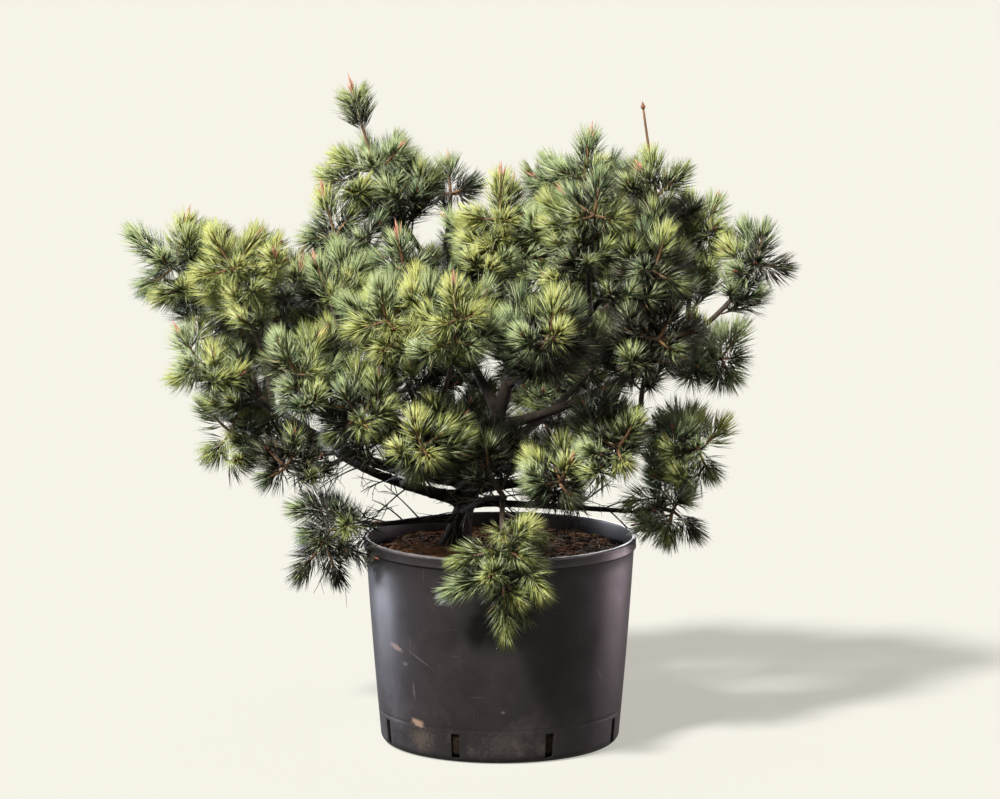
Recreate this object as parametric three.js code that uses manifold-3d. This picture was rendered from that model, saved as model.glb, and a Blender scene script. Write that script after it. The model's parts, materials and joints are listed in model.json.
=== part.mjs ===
// A dwarf blue Siberian pine growing in a round black nursery pot.
// Millimetres, +Z up. The origin is the centre of the pot's flat underside, and the plant's front faces -Y.
//
// A short trunk leans out of the potting soil and runs up as a leader. Boughs leave it and end at forks,
// and from each fork the stems of a few masses of foliage go on. A mass is one solid: a stem, shoots that
// branch off it by a seeded rule, and long needle sprays that stand out of every shoot. Each mass keeps to
// the part of the crown that is nearer to it than to its neighbours.
import * as THREE from "three";
import { mergeVertices } from "three/addons/utils/BufferGeometryUtils.js";
import Module from "manifold-3d";

const wasm = await Module();
wasm.setup();

// Driving sizes
const gap = 0.3; // between neighbouring solids
const cutAway = 0.4; // added round a limb where its neighbours are cut clear of it
const weld = 1e-4; // corners nearer than this are one
const sliver = 0.02; // edges shorter than this are dropped
const mostLost = 0.04; // share of a solid that may be dropped as loose scraps
const pot = {
  height: 365,
  rimRadius: 240,
  rimBand: 20,
  rimBevel: 2,
  wall: 4,
  topRadius: 236,
  baseRadius: 211,
  footRound: 16,
  sides: 32,
};
const slot = { count: 8, width: 15, bottom: 9, top: 52, depth: 60, turn: 1.2 };
const soil = { level: 342, edgeDrop: 8, edgeWidth: 30 };
const trunk = {
  foot: [-79, 0, 320],
  lean: [-75, 0, 480],
  sway: [60, -10, 600],
  tip: [4, -80, 790],
  footRadius: 26,
  tipRadius: 7,
  flare: 14,
  flareHeight: 20,
  buttresses: 5,
  buttressDepth: 0.16,
  sides: 10,
  steps: 12,
};
const buried = 200; // depth of the box that cuts the trunk off level with the soil
const limb = { tipShare: 0.55, sides: 6, steps: 4, outwards: 0.55, lift: 0.25 };
const stem = {
  startRadius: 4.8,
  endRadius: 3.8,
  sides: 8, // of the round solid that cuts others clear of it
  corner: 0.5, // that solid's extra radius
  steps: 3,
  upturn: 0.6,
  stagger: 0.07, // along the end of its bough, from each stem to the next
};
const whorl = { depth: 7, spacing: 44, shoots: 3 };
const shoot = {
  radius: 3,
  cladRadius: 5.4, // where the needles' bases thicken it
  endRadius: 3.8,
  clad: [0.24, 1], // the share of its length that carries needles
  bandLength: 12,
  twist: 0.45,
  inset: 62, // from its tip to its mass's reach
  shortest: 0.7,
  rise: 0.16,
  steepest: 0.95,
  swing: 0.8,
  headings: 14,
  lengthWorth: 0.1,
  shoulder: 0.03,
  budLength: 9,
};
const crown = { foot: [-20, 0, 430], climb: 0.6, droop: 0.7 }; // sets the headings of the masses' leaders
const spray = {
  length: 62,
  spread: 0.3,
  shorter: 0.66,
  tipLength: 42,
  backLean: 1.2,
  frontLean: 0.62,
  thirds: [5, 3, 1.5], // its radii, from the root out
};

// Where each bough leaves the trunk (a height), where it ends, and its radius at the trunk.
const boughs = {
  left_drooping: { from: 396, to: [-272, -40, 384], radius: 6 },
  left_low: { from: 428, to: [-290, 20, 508], radius: 11 },
  left_high: { from: 462, to: [-415, -110, 630], radius: 11, lift: 0.1 },
  left_front: { from: 500, to: [-290, -200, 625], radius: 9 },
  centre_front: { from: 530, to: [-130, -200, 590], radius: 8 },
  top_left: { from: 585, to: [-130, 55, 850], radius: 8, lift: 0.45 },
  top_right: { from: 640, to: [180, -30, 795], radius: 8 },
  far_right: { from: 560, to: [330, 20, 715], radius: 9 },
  right_middle: { from: 490, to: [245, -60, 605], radius: 9 },
  right_low: { from: 452, to: [210, -150, 525], radius: 9 },
  right_lowest: { from: 425, to: [235, -20, 410], radius: 7, lift: 0.4 },
  front_low: { from: 404, to: [9, -212, 466], radius: 7, lift: 0.9 },
  back_left: { from: 445, to: [-230, 210, 600], radius: 10 },
  back_right: { from: 510, to: [150, 230, 610], radius: 10 },
  back_high: { from: 610, to: [30, 180, 770], radius: 8, lift: 0.4 },
  back_low: { from: 415, to: [-30, 230, 450], radius: 8, lift: 0.5 },
};

// Leaders with a heading of their own, and some with their own length and share that carries needles.
const leaders = {
  outwards: { lead: [-0.8, 0, 0.5], leader: 72 },
  tufted: { lead: [-0.34, 0, 1], leader: 118, clad: [0.6, 1] },
  bare: { lead: [-0.18, 0, 1], leader: 130, clad: [0.1, 0.42] },
  upright: { lead: [0.25, -0.1, 1] },
  forwards: { lead: [0.2, -0.8, -0.3] },
  downwards: { lead: [0.05, -0.2, -1], hangs: true },
};

// Where each mass of foliage is centred, how far it reaches, how many shoots it has, and what carries it.
const masses = {
  far_left: { on: "left_high", at: [-568, -40, 848], reach: 124, shoots: 6, ...leaders.outwards },
  left_top: { on: "left_high", at: [-460, -165, 860], reach: 114, shoots: 5 },
  left_side: { on: "left_high", at: [-515, -80, 680], reach: 112, shoots: 5 },
  left_shaded: { on: "back_left", at: [-385, 130, 780], reach: 112, shoots: 4 },
  left_middle: { on: "left_front", at: [-345, -270, 695], reach: 116, shoots: 6 },
  left_skirt: { on: "left_low", at: [-475, 0, 550], reach: 114, shoots: 5 },
  left_under: { on: "left_low", at: [-375, -70, 500], reach: 100, shoots: 4 },
  left_hanging: { on: "left_drooping", at: [-308, -70, 360], reach: 116, shoots: 6, hangs: true },
  top_left: { on: "top_left", at: [-218, 60, 1005], reach: 124, shoots: 5, ...leaders.tufted },
  upper_left: { on: "top_left", at: [-288, 5, 900], reach: 112, shoots: 4 },
  upper_middle: { on: "top_left", at: [-88, 160, 955], reach: 98, shoots: 4 },
  left_crown: { on: "left_front", at: [-292, -120, 800], reach: 114, shoots: 5 },
  middle_crown: { on: "top_left", at: [-165, -110, 850], reach: 104, shoots: 5 },
  front_left: { on: "centre_front", at: [-190, -310, 790], reach: 114, shoots: 6 },
  front_middle: { on: "centre_front", at: [-72, -345, 795], reach: 112, shoots: 6 },
  centre_top: { on: "trunk", at: [0, -140, 942], reach: 114, shoots: 6 },
  front_left_low: { on: "centre_front", at: [-242, -290, 622], reach: 112, shoots: 4 },
  front_centre_low: { on: "centre_front", at: [-130, -310, 572], reach: 106, shoots: 4, ...leaders.forwards },
  centre_low: { on: "front_low", at: [-22, -235, 530], reach: 100, shoots: 3 },
  front_hanging: { on: "front_low", at: [5, -292, 345], reach: 144, shoots: 6, ...leaders.downwards },
  top_right: { on: "top_right", at: [147, 40, 993], reach: 116, shoots: 4 },
  top_far_right: { on: "top_right", at: [270, -40, 972], reach: 116, shoots: 5, ...leaders.bare },
  right_shoulder: { on: "far_right", at: [355, 70, 885], reach: 112, shoots: 4 },
  far_right: { on: "far_right", at: [448, 0, 850], reach: 104, shoots: 4, ...leaders.upright },
  right_top_front: { on: "top_right", at: [160, -200, 955], reach: 114, shoots: 4 },
  right_crown: { on: "top_right", at: [262, -195, 860], reach: 114, shoots: 6 },
  front_right: { on: "trunk", at: [84, -320, 765], reach: 118, shoots: 7 },
  right_middle: { on: "right_middle", at: [272, -190, 740], reach: 114, shoots: 6 },
  right_side: { on: "far_right", at: [388, -20, 685], reach: 108, shoots: 5 },
  right_front_low: { on: "right_low", at: [202, -236, 560], reach: 114, shoots: 4 },
  right_skirt: { on: "right_middle", at: [348, -80, 530], reach: 110, shoots: 5 },
  front_right_low: { on: "right_low", at: [102, -235, 500], reach: 106, shoots: 4 },
  right_hanging: { on: "right_lowest", at: [305, -35, 412], reach: 104, shoots: 4, hangs: true },
  back_far_left: { on: "back_left", at: [-395, 215, 668], reach: 124, shoots: 4 },
  back_left: { on: "back_left", at: [-150, 320, 640], reach: 128, shoots: 4 },
  back_right: { on: "back_right", at: [215, 250, 690], reach: 128, shoots: 4 },
  back_middle: { on: "back_right", at: [95, 350, 560], reach: 128, shoots: 4 },
  back_top_right: { on: "back_high", at: [110, 270, 790], reach: 124, shoots: 4 },
  back_top_left: { on: "back_high", at: [-60, 300, 800], reach: 122, shoots: 4 },
  back_crown: { on: "top_right", at: [262, 180, 850], reach: 114, shoots: 4 },
  back_skirt: { on: "back_low", at: [-50, 340, 490], reach: 128, shoots: 5 },
};

const paint = {
  pot: { color: 0x3a383c, roughness: 0.45 },
  soil: { color: 0x2e231a, roughness: 1 },
  bark: { color: 0x4b3a2d, roughness: 0.9 },
  foliage: { color: 0x5f7a45, roughness: 0.6 },
};

const steep = 0.8; // the rise along a curve past which its rings are turned by Y in place of Z
const vector = (x, y, z) => new THREE.Vector3(x, y, z);

// Repeatable draws from 0 to 1, the same in any language.
const modulus = 2147483647;
const multiplier = 48271;
const [massSeed, shootSeed, spraySeed, turnSeed] = [1000, 50, 500, 900];
function seeded(seed) {
  let state = ((seed + 1) * multiplier) % modulus;
  return () => {
    state = (state * multiplier) % modulus;
    return state / modulus;
  };
}

// Closed geometry as a solid, for cutting and joining.
function solidOf(geometry) {
  const bare = geometry.clone();
  bare.deleteAttribute("normal");
  bare.deleteAttribute("uv");
  const merged = mergeVertices(bare, weld);
  return new wasm.Manifold(
    new wasm.Mesh({
      numProp: 3,
      vertProperties: new Float32Array(merged.attributes.position.array),
      triVerts: new Uint32Array(merged.index.array),
    }),
  );
}

// The largest closed body of a solid: fills what fusing seals, and drops loose scraps.
function wholeOf(solid, name) {
  const bodies = solid.decompose().sort((a, b) => b.volume() - a.volume());
  const lost = bodies.slice(1).reduce((sum, body) => sum + Math.abs(body.volume()), 0);
  if (lost > mostLost * bodies[0].volume()) throw new Error(name + " falls apart");
  return bodies[0].simplify(sliver);
}

function meshOf(solid, name, finish) {
  const { numProp, numVert, vertProperties, triVerts } = solid.getMesh();
  const position = new Float32Array(numVert * 3);
  for (let i = 0; i < numVert; i++) {
    position.set(vertProperties.subarray(i * numProp, i * numProp + 3), i * 3);
  }
  const geometry = new THREE.BufferGeometry();
  geometry.setAttribute("position", new THREE.BufferAttribute(position, 3));
  geometry.setIndex(new THREE.BufferAttribute(triVerts, 1));
  geometry.computeVertexNormals();
  const mesh = new THREE.Mesh(geometry, new THREE.MeshStandardMaterial({ metalness: 0, ...finish }));
  mesh.name = name;
  return mesh;
}

// Pot: one turned wall with a rounded foot and a rim band, and drain slots round the foot.
function potSolid() {
  const flat = pot.baseRadius - pot.footRound;
  const rimFoot = pot.height - pot.rimBand;
  const inner = pot.wall;
  const profile = new THREE.Path();
  profile.moveTo(0, 0);
  profile.lineTo(flat, 0);
  profile.absarc(flat, pot.footRound, pot.footRound, -Math.PI / 2, 0, false);
  profile.lineTo(pot.topRadius, rimFoot);
  profile.lineTo(pot.rimRadius, rimFoot);
  profile.lineTo(pot.rimRadius, pot.height - pot.rimBevel);
  profile.lineTo(pot.rimRadius - pot.rimBevel, pot.height);
  profile.lineTo(pot.topRadius - inner + pot.rimBevel, pot.height);
  profile.lineTo(pot.topRadius - inner, rimFoot);
  profile.lineTo(pot.baseRadius - inner, pot.footRound);
  profile.absarc(flat, pot.footRound, pot.footRound - inner, 0, -Math.PI / 2, true);
  profile.lineTo(0, inner);
  let body = solidOf(turned(profile.getPoints(1)));
  for (let i = 0; i < slot.count; i++) {
    const cutter = new THREE.BoxGeometry(slot.width, slot.depth, slot.top - slot.bottom);
    cutter.translate(0, -pot.baseRadius, (slot.top + slot.bottom) / 2);
    cutter.rotateZ((i + 0.5) * ((2 * Math.PI) / slot.count) + THREE.MathUtils.degToRad(slot.turn));
    body = body.subtract(solidOf(cutter));
  }
  return body;
}

// A profile of radius and height turned round the Z axis.
function turned(points) {
  const geometry = new THREE.LatheGeometry(points, pot.sides);
  geometry.rotateX(Math.PI / 2);
  return geometry;
}

// The radius of the pot's outside at a height.
function potRadiusAt(z) {
  const rimFoot = pot.height - pot.rimBand;
  if (z > pot.height) return 0;
  if (z > rimFoot) return pot.rimRadius;
  const share = (z - pot.footRound) / (rimFoot - pot.footRound);
  return pot.baseRadius + (pot.topRadius - pot.baseRadius) * Math.max(0, share);
}

// Potting soil: a plug that fills the pot, its level falling a little at the wall.
function soilSolid() {
  const wallAt = (z) => potRadiusAt(Math.min(z, pot.height - pot.rimBand)) - pot.wall - gap;
  const flat = pot.baseRadius - pot.footRound;
  const round = pot.footRound - pot.wall - gap;
  const edge = soil.level - soil.edgeDrop;
  const profile = new THREE.Path();
  profile.moveTo(0, pot.wall + gap);
  profile.lineTo(flat, pot.wall + gap);
  profile.absarc(flat, pot.footRound, round, -Math.PI / 2, 0, false);
  profile.lineTo(wallAt(edge), edge);
  profile.lineTo(wallAt(edge) - soil.edgeWidth, soil.level);
  profile.lineTo(0, soil.level);
  return solidOf(turned(profile.getPoints(1)));
}

// A closed round limb: a cylinder bent along a curve. The radius may change along it and round it.
function bentCylinder(curve, stations, sides, radiusAt, overrun = 0) {
  const steps = stations.length - 1;
  const geometry = new THREE.CylinderGeometry(1, 1, 1, sides, steps);
  const position = geometry.getAttribute("position");
  const rings = stations.map((t) => ringAt(curve, t));
  for (let i = 0; i < position.count; i++) {
    const step = Math.round((position.getY(i) + 0.5) * steps);
    const angle = Math.atan2(position.getZ(i), position.getX(i));
    const out = Math.hypot(position.getX(i), position.getZ(i)) * radiusAt(stations[step], angle);
    const { centre, along, side, other } = rings[step];
    const point = centre.clone().addScaledVector(along, step === steps ? overrun : 0);
    point.addScaledVector(side, out * Math.cos(angle)).addScaledVector(other, out * Math.sin(angle));
    position.setXYZ(i, point.x, point.y, point.z);
  }
  return geometry;
}

// The centre of a curve's ring and the two directions across it, turned the same way all along a curve.
function ringAt(curve, t) {
  const along = curve.getTangent(t);
  const across = Math.abs(curve.getTangent(0).z) > steep ? vector(0, 1, 0) : vector(0, 0, 1);
  const side = across.clone().cross(along).normalize();
  const other = side.clone().cross(along).normalize();
  return { centre: curve.getPoint(t), along, side, other };
}

const evenly = (steps) => Array.from({ length: steps + 1 }, (_, i) => i / steps);

// Trunk
const trunkCurve = new THREE.CubicBezierCurve3(
  vector(...trunk.foot),
  vector(...trunk.lean),
  vector(...trunk.sway),
  vector(...trunk.tip),
);

// The place on the trunk's curve at a height, by halving.
function trunkShareAt(height) {
  let share = 0;
  for (let step = 0.5; step > weld; step /= 2) {
    if (trunkCurve.getPoint(share + step).z < height) share += step;
  }
  return share;
}

function trunkRadiusAt(t, angle = 0) {
  const above = trunkCurve.getPoint(t).z - soil.level;
  const flare = Math.exp(-Math.max(0, above) / trunk.flareHeight);
  const taper = trunk.footRadius + (trunk.tipRadius - trunk.footRadius) * Math.sqrt(t);
  const lobes = 1 + trunk.buttressDepth * flare * Math.cos(trunk.buttresses * angle);
  return (taper + trunk.flare * flare) * lobes;
}

function trunkSolid(extra) {
  const radiusAt = (t, angle) => trunkRadiusAt(t, angle) + extra;
  const whole = solidOf(bentCylinder(trunkCurve, evenly(trunk.steps), trunk.sides, radiusAt));
  const below = new THREE.BoxGeometry(buried, buried, buried);
  below.translate(trunk.foot[0], trunk.foot[1], soil.level + gap - buried / 2);
  return whole.subtract(solidOf(below));
}

// A limb is a curve with its radii. Boughs leave the trunk, and stems leave the end of a bough.
function boughLimb(name) {
  const { from, to, radius, lift = limb.lift } = boughs[name];
  const start = trunkCurve.getPoint(trunkShareAt(from));
  const end = vector(...to);
  const bend = start.clone().lerp(end, limb.outwards);
  bend.z = start.z + lift * (end.z - start.z);
  const curve = new THREE.QuadraticBezierCurve3(start, bend, end);
  return { ...limb, owner: "bough_" + name, curve, startRadius: radius, endRadius: radius * limb.tipShare };
}

function stemLimb(name, place) {
  const { on, at } = masses[name];
  const carrier = on === "trunk" ? trunkCurve : boughLimbs[on].curve;
  const start = carrier.getPoint(1 - stem.stagger * place);
  const end = vector(...at);
  const turned = end.clone().addScaledVector(headingOf(name), -0.5 * start.distanceTo(end));
  const bend = start.clone().lerp(end, 0.5).lerp(turned, stem.upturn);
  const curve = new THREE.QuadraticBezierCurve3(start, bend, end);
  return { ...stem, owner: name, curve };
}

const limbRadiusAt = (one, t) => one.startRadius + (one.endRadius - one.startRadius) * t;

// A limb's solid, or one that is larger all round and past its end, to cut its neighbours clear of it.
function limbSolid(one, extra = 0) {
  const radiusAt = (t) => limbRadiusAt(one, t) + extra;
  return solidOf(bentCylinder(one.curve, evenly(one.steps), one.sides, radiusAt, extra));
}

const boughLimbs = Object.fromEntries(Object.keys(boughs).map((name) => [name, boughLimb(name)]));
const massNames = Object.keys(masses);
const stemLimbs = Object.fromEntries(
  massNames.map((name, i) => {
    const place = massNames.slice(0, i).filter((other) => masses[other].on === masses[name].on).length;
    return [name, stemLimb(name, place)];
  }),
);

// A mass's leader goes on from its stem's end. Unless it is given, its heading is out from the foot of the
// crown, and up or down.
function headingOf(name) {
  const { at, lead, hangs } = masses[name];
  if (lead) return vector(...lead).normalize();
  const heading = vector(...at).sub(vector(...crown.foot)).normalize();
  heading.z += hangs ? -crown.droop : crown.climb;
  return heading.normalize();
}

function leaderOf(name) {
  const { at, reach, hangs, leader, clad = shoot.clad } = masses[name];
  const base = vector(...at);
  const heading = headingOf(name);
  const length = leader ?? reach - shoot.inset;
  const bend = base.clone().addScaledVector(heading, length / 2);
  const tip = bend.clone().addScaledVector(heading, length / 2);
  tip.z += (hangs ? -1 : 1) * shoot.rise * length;
  return { base, bend, tip, length, clad, curve: new THREE.QuadraticBezierCurve3(base, bend, tip) };
}

// Straight pieces of every limb, which shoots and sprays keep clear of.
const pieces = [];
function addPieces(owner, curve, radiusAt, count) {
  for (let i = 0; i < count; i++) {
    const t = i / count;
    const radius = Math.max(radiusAt(t), radiusAt(t + 1 / count));
    pieces.push({ owner, a: curve.getPoint(t), b: curve.getPoint(t + 1 / count), radius });
  }
}
addPieces("trunk", trunkCurve, trunkRadiusAt, trunk.steps);
for (const one of [...Object.values(boughLimbs), ...Object.values(stemLimbs)]) {
  addPieces(one.owner, one.curve, (t) => limbRadiusAt(one, t), one.steps * 2);
}
for (const name of massNames) addPieces(name, leaderOf(name).curve, () => shoot.cladRadius, 2);

// The least distance between the straight pieces a-b and c-d.
function distanceBetween(a, b, c, d) {
  const u = b.clone().sub(a);
  const v = d.clone().sub(c);
  const w = a.clone().sub(c);
  const [uu, uv, vv, uw, vw] = [u.dot(u), u.dot(v), v.dot(v), u.dot(w), v.dot(w)];
  const clamp = (x) => Math.min(1, Math.max(0, x));
  const across = uu * vv - uv * uv;
  let s = across > 1e-9 ? clamp((uv * vw - vv * uw) / across) : 0;
  const t = clamp((uv * s + vw) / vv);
  s = clamp((uv * t - uw) / uu);
  return a.clone().addScaledVector(u, s).distanceTo(c.clone().addScaledVector(v, t));
}

function clearOf(list, a, b, radius) {
  return list.every((piece) => distanceBetween(a, b, piece.a, piece.b) > piece.radius + radius + gap);
}

function clearOfPot(a, b, radius) {
  return evenly(5).every((t) => {
    const p = a.clone().lerp(b, t);
    return Math.hypot(p.x, p.y) > potRadiusAt(p.z - radius) + radius + gap && p.z > radius;
  });
}

// How far a point lies inside a mass's own space: within its reach, and on its side of every neighbour.
function roomAt(name, point) {
  const { at, reach, leader = 0 } = masses[name];
  const centre = vector(...at);
  const own = point.distanceToSquared(centre) - reach * reach;
  let room = Math.max(reach, leader + spray.tipLength) - point.distanceTo(centre);
  for (const other of massNames) {
    if (other === name) continue;
    const there = vector(...masses[other].at);
    const theirs = point.distanceToSquared(there) - masses[other].reach ** 2;
    room = Math.min(room, (theirs - own) / (2 * there.distanceTo(centre)));
  }
  return room;
}

// A twig is four-cornered. Its rings start from the corners of the face that it grows out of, and each next
// ring takes its turn from the last, with a twist. It gives back its faces, band by band, and its last ring.
function twigBands(corners, curve, stations, radiusAt, twist) {
  const bands = [];
  let ring = corners;
  const side = corners[0].clone().sub(middleOf(corners));
  for (const t of stations) {
    const along = curve.getTangent(t);
    side.addScaledVector(along, -side.dot(along)).normalize().applyAxisAngle(along, twist);
    const centre = curve.getPoint(t);
    const quarter = (k) => side.clone().applyAxisAngle(along, (k * Math.PI) / 2);
    const next = corners.map((_, k) => centre.clone().addScaledVector(quarter(k), radiusAt(t)));
    const last = ring;
    bands.push(last.map((corner, k) => [corner, last[(k + 1) % 4], next[(k + 1) % 4], next[k]]));
    ring = next;
  }
  return { bands, ring };
}

const sumOf = (points) => points.reduce((sum, point) => sum.add(point), vector(0, 0, 0));
const middleOf = (points) => sumOf(points).divideScalar(points.length);
const drawnOut = (face, apex) => face.map((corner, i) => [corner, face[(i + 1) % face.length], apex]);

// The straight thirds of a spray, as pieces that others keep clear of.
function thirdsOf(root, apex) {
  const at = (i) => root.clone().lerp(apex, i / spray.thirds.length);
  return spray.thirds.map((radius, i) => ({ a: at(i), b: at(i + 1), radius }));
}

// A shoot's core as pieces, from its base by its bend to its tip.
const coreOf = ({ base, bend, tip }) => [
  { a: base, b: bend, radius: shoot.cladRadius },
  { a: bend, b: tip, radius: shoot.cladRadius },
];

// Where a shoot goes: of a few headings out of its face of the stem, the one that leaves it most room.
function shootFrom(name, face, stemAlong, made, others, seed) {
  const { reach, hangs } = masses[name];
  const base = middleOf(face);
  const across = face[1].clone().sub(face[0]);
  const out = across.clone().cross(face[3].clone().sub(face[0])).normalize();
  let best = null;
  for (let attempt = 0; attempt < shoot.headings; attempt++) {
    const draw = seeded(seed + attempt);
    const steep = shoot.steepest * draw();
    const swing = shoot.swing * (2 * draw() - 1);
    const heading = out.clone().applyAxisAngle(stemAlong, swing).multiplyScalar(Math.cos(steep));
    heading.addScaledVector(stemAlong, Math.sin(steep));
    const length = (reach - shoot.inset) * (attempt % 2 === 0 ? 1 : shoot.shortest);
    const bend = base.clone().addScaledVector(heading, length / 2);
    const tip = bend.clone().addScaledVector(heading, length / 2);
    tip.z += (hangs ? -1 : 1) * shoot.rise * length;
    const room = Math.min(roomAt(name, tip), roomAt(name, bend));
    if (room < shoot.cladRadius + gap || !clearOfPot(bend, tip, shoot.cladRadius)) continue;
    if (!clearOf(others, bend, tip, shoot.cladRadius) || !clearOf(others, base, bend, shoot.radius)) continue;
    if (!clearOf(made.flatMap(coreOf), bend, tip, shoot.cladRadius)) continue;
    const apart = Math.min(reach, ...made.map((one) => one.tip.distanceTo(tip) / 2));
    const score = Math.min(room, apart, reach / 2) + length * shoot.lengthWorth;
    if (!best || score > best.score) best = { face, base, bend, tip, score, length, clad: shoot.clad };
  }
  return best;
}

// Grows one shoot's faces. Each face of its clad bands is drawn out into a long spike, a spray of needles,
// wherever that keeps to the mass's space and clears limbs, twigs and other sprays.
function grownShoot({ face, base, bend, tip, length, clad }, draw, fits) {
  const curve = new THREE.QuadraticBezierCurve3(base, bend, tip);
  const bandCount = Math.max(2, Math.round(((clad[1] - clad[0]) * length) / shoot.bandLength));
  const cladStations = evenly(bandCount).map((t) => clad[0] + (clad[1] - clad[0]) * t);
  const bareTip = clad[1] < 1;
  const stations = bareTip ? [...cladStations, clad[1] + shoot.shoulder, 1] : cladStations;
  const radiusAt = (t) => {
    if (t > clad[1]) return shoot.radius;
    return shoot.cladRadius + ((shoot.endRadius - shoot.cladRadius) * (t - clad[0])) / (clad[1] - clad[0]);
  };
  const { bands, ring } = twigBands(face, curve, stations, radiusAt, shoot.twist);
  const faces = bands.flatMap((band, i) => {
    if (i === 0 || i > bandCount) return band;
    const middle = (stations[i - 1] + stations[i]) / 2;
    const along = curve.getTangent(middle);
    const lean = spray.backLean + ((spray.frontLean - spray.backLean) * (i - 1)) / bandCount;
    return band.flatMap((one) => {
      const root = middleOf(one);
      const out = root.clone().sub(curve.getPoint(middle));
      out.addScaledVector(along, -out.dot(along)).normalize();
      const heading = out.multiplyScalar(Math.sin(lean)).addScaledVector(along, Math.cos(lean));
      const full = spray.length * (1 - spray.spread * draw());
      const apexes = [full, full * spray.shorter].map((far) => root.clone().addScaledVector(heading, far));
      const apex = apexes.find((end) => fits(root, end));
      return apex ? drawnOut(one, apex) : [one];
    });
  });
  const end = middleOf(ring);
  const ends = [bareTip ? shoot.budLength : spray.tipLength, shoot.budLength];
  const buds = ends.map((far) => end.clone().addScaledVector(curve.getTangent(1), far));
  const bud = buds.find((apex) => fits(end, apex));
  return [...faces, ...(bud ? drawnOut(ring, bud) : [ring])];
}

// The four-cornered stem of a mass. Short bands near its end are its whorls, whose faces shoots grow from.
function stemSkin(name, order) {
  const { curve } = stemLimbs[name];
  const length = curve.getLength();
  const depth = whorl.depth / length;
  const count = Math.ceil((masses[name].shoots - 1) / whorl.shoots);
  const ends = Array.from({ length: count }, (_, i) => 1 - (whorl.spacing * i) / length);
  const stations = evenly(stem.steps).map((t) => t * (ends.at(-1) - depth));
  ends.toReversed().forEach((end, i) => stations.push(...(i === 0 ? [end] : [end - depth, end])));
  const radiusAt = (t) => limbRadiusAt(stemLimbs[name], t);
  const turn = seeded(order + turnSeed)() * Math.PI;
  const { centre, along, side } = ringAt(curve, 0);
  const foot = [0, 1, 2, 3].map((k) => {
    const out = side.clone().applyAxisAngle(along, turn + (k * Math.PI) / 2);
    return out.multiplyScalar(radiusAt(0)).add(centre);
  });
  const { bands, ring } = twigBands(foot, curve, stations.slice(1), radiusAt, 0);
  const whorls = ends.map((end) => {
    return { faces: bands[stations.indexOf(end) - 1], along: curve.getTangent(end) };
  });
  return { foot, bands, ring, whorls };
}

// A mass is one skin: the stem, shoots out of the faces of its whorls, and the leader on from its end.
function massSkin(name, order) {
  const others = pieces.filter((piece) => piece.owner !== name);
  const ownStem = pieces.filter((piece) => piece.owner === name).slice(0, stem.steps * 2);
  const { foot, bands, ring, whorls } = stemSkin(name, order);
  const made = [{ face: ring, ...leaderOf(name) }];
  for (let k = 0; k < masses[name].shoots - 1; k++) {
    const level = Math.floor(k / whorl.shoots);
    const { faces, along } = whorls[level];
    const seed = order * massSeed + k * shootSeed;
    const one = shootFrom(name, faces[(k + level) % 4], along, made, others, seed);
    if (one) made.push(one);
  }

  const draw = seeded(order + spraySeed);
  const taken = [];
  const grown = made.flatMap((one) => {
    const rivals = made.filter((rival) => rival !== one);
    const rivalTwigs = rivals.flatMap(coreOf);
    const rivalSprays = [...taken];
    const fits = (root, apex) => {
      const thirds = thirdsOf(root, apex);
      const clear = (list, stretch) => stretch.every(({ a, b, radius }) => clearOf(list, a, b, radius));
      if (roomAt(name, apex) < gap) return false;
      if (!thirds.every(({ a, b, radius }) => clearOfPot(a, b, radius))) return false;
      if (!clear([...others, ...rivalTwigs, ...rivalSprays], thirds)) return false;
      if (!clear(ownStem, thirds.slice(1))) return false;
      taken.push(...thirds);
      return true;
    };
    return grownShoot(one, draw, fits);
  });
  const usedFaces = new Set(made.map((one) => one.face));
  return [foot.toReversed(), ...bands.flat().filter((face) => !usedFaces.has(face)), ...grown];
}

// Flat three- and four-cornered faces as a solid.
function solidOfFaces(faces) {
  const corners = faces.flatMap(([a, b, c, d]) => (d ? [a, b, c, a, c, d] : [a, b, c]));
  return solidOf(new THREE.BufferGeometry().setFromPoints(corners));
}

// A mass's solid, its stem cut clear of the fork that it grows from.
function massSolid(name, order) {
  const { on } = masses[name];
  const earlier = massNames.slice(0, order).filter((other) => masses[other].on === on);
  const carrier = on === "trunk" ? trunkSolid(cutAway) : limbSolid(boughLimbs[on], cutAway);
  const cutters = [carrier, ...earlier.map((other) => limbSolid(stemLimbs[other], cutAway + stem.corner))];
  const body = cutters.reduce((rest, cutter) => rest.subtract(cutter), solidOfFaces(massSkin(name, order)));
  return wholeOf(body, name);
}

const plant = new THREE.Group();
plant.add(meshOf(potSolid(), "pot", paint.pot));
plant.add(meshOf(soilSolid(), "soil", paint.soil));
plant.add(meshOf(wholeOf(trunkSolid(0), "trunk"), "trunk", paint.bark));

const trunkCutter = trunkSolid(cutAway);
const boughNames = Object.keys(boughs);
boughNames.forEach((name, i) => {
  const earlier = boughNames.slice(0, i).map((other) => limbSolid(boughLimbs[other], cutAway));
  const whole = limbSolid(boughLimbs[name]);
  const body = [trunkCutter, ...earlier].reduce((rest, cutter) => rest.subtract(cutter), whole);
  plant.add(meshOf(wholeOf(body, name), "bough_" + name, paint.bark));
});

massNames.forEach((name, order) => {
  plant.add(meshOf(massSolid(name, order), "foliage_" + name, paint.foliage));
});

export default plant;
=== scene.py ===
# A dwarf blue Siberian pine in a round black nursery pot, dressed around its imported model.
# Sizes are in millimetres until a mesh is made. The crown is grown by the same seeded rule as the
# model's, and carried on to finer twigs and single needles.
import json
import math

import bmesh
import bpy
import numpy as np
from mathutils import Matrix, Vector, noise

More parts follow.
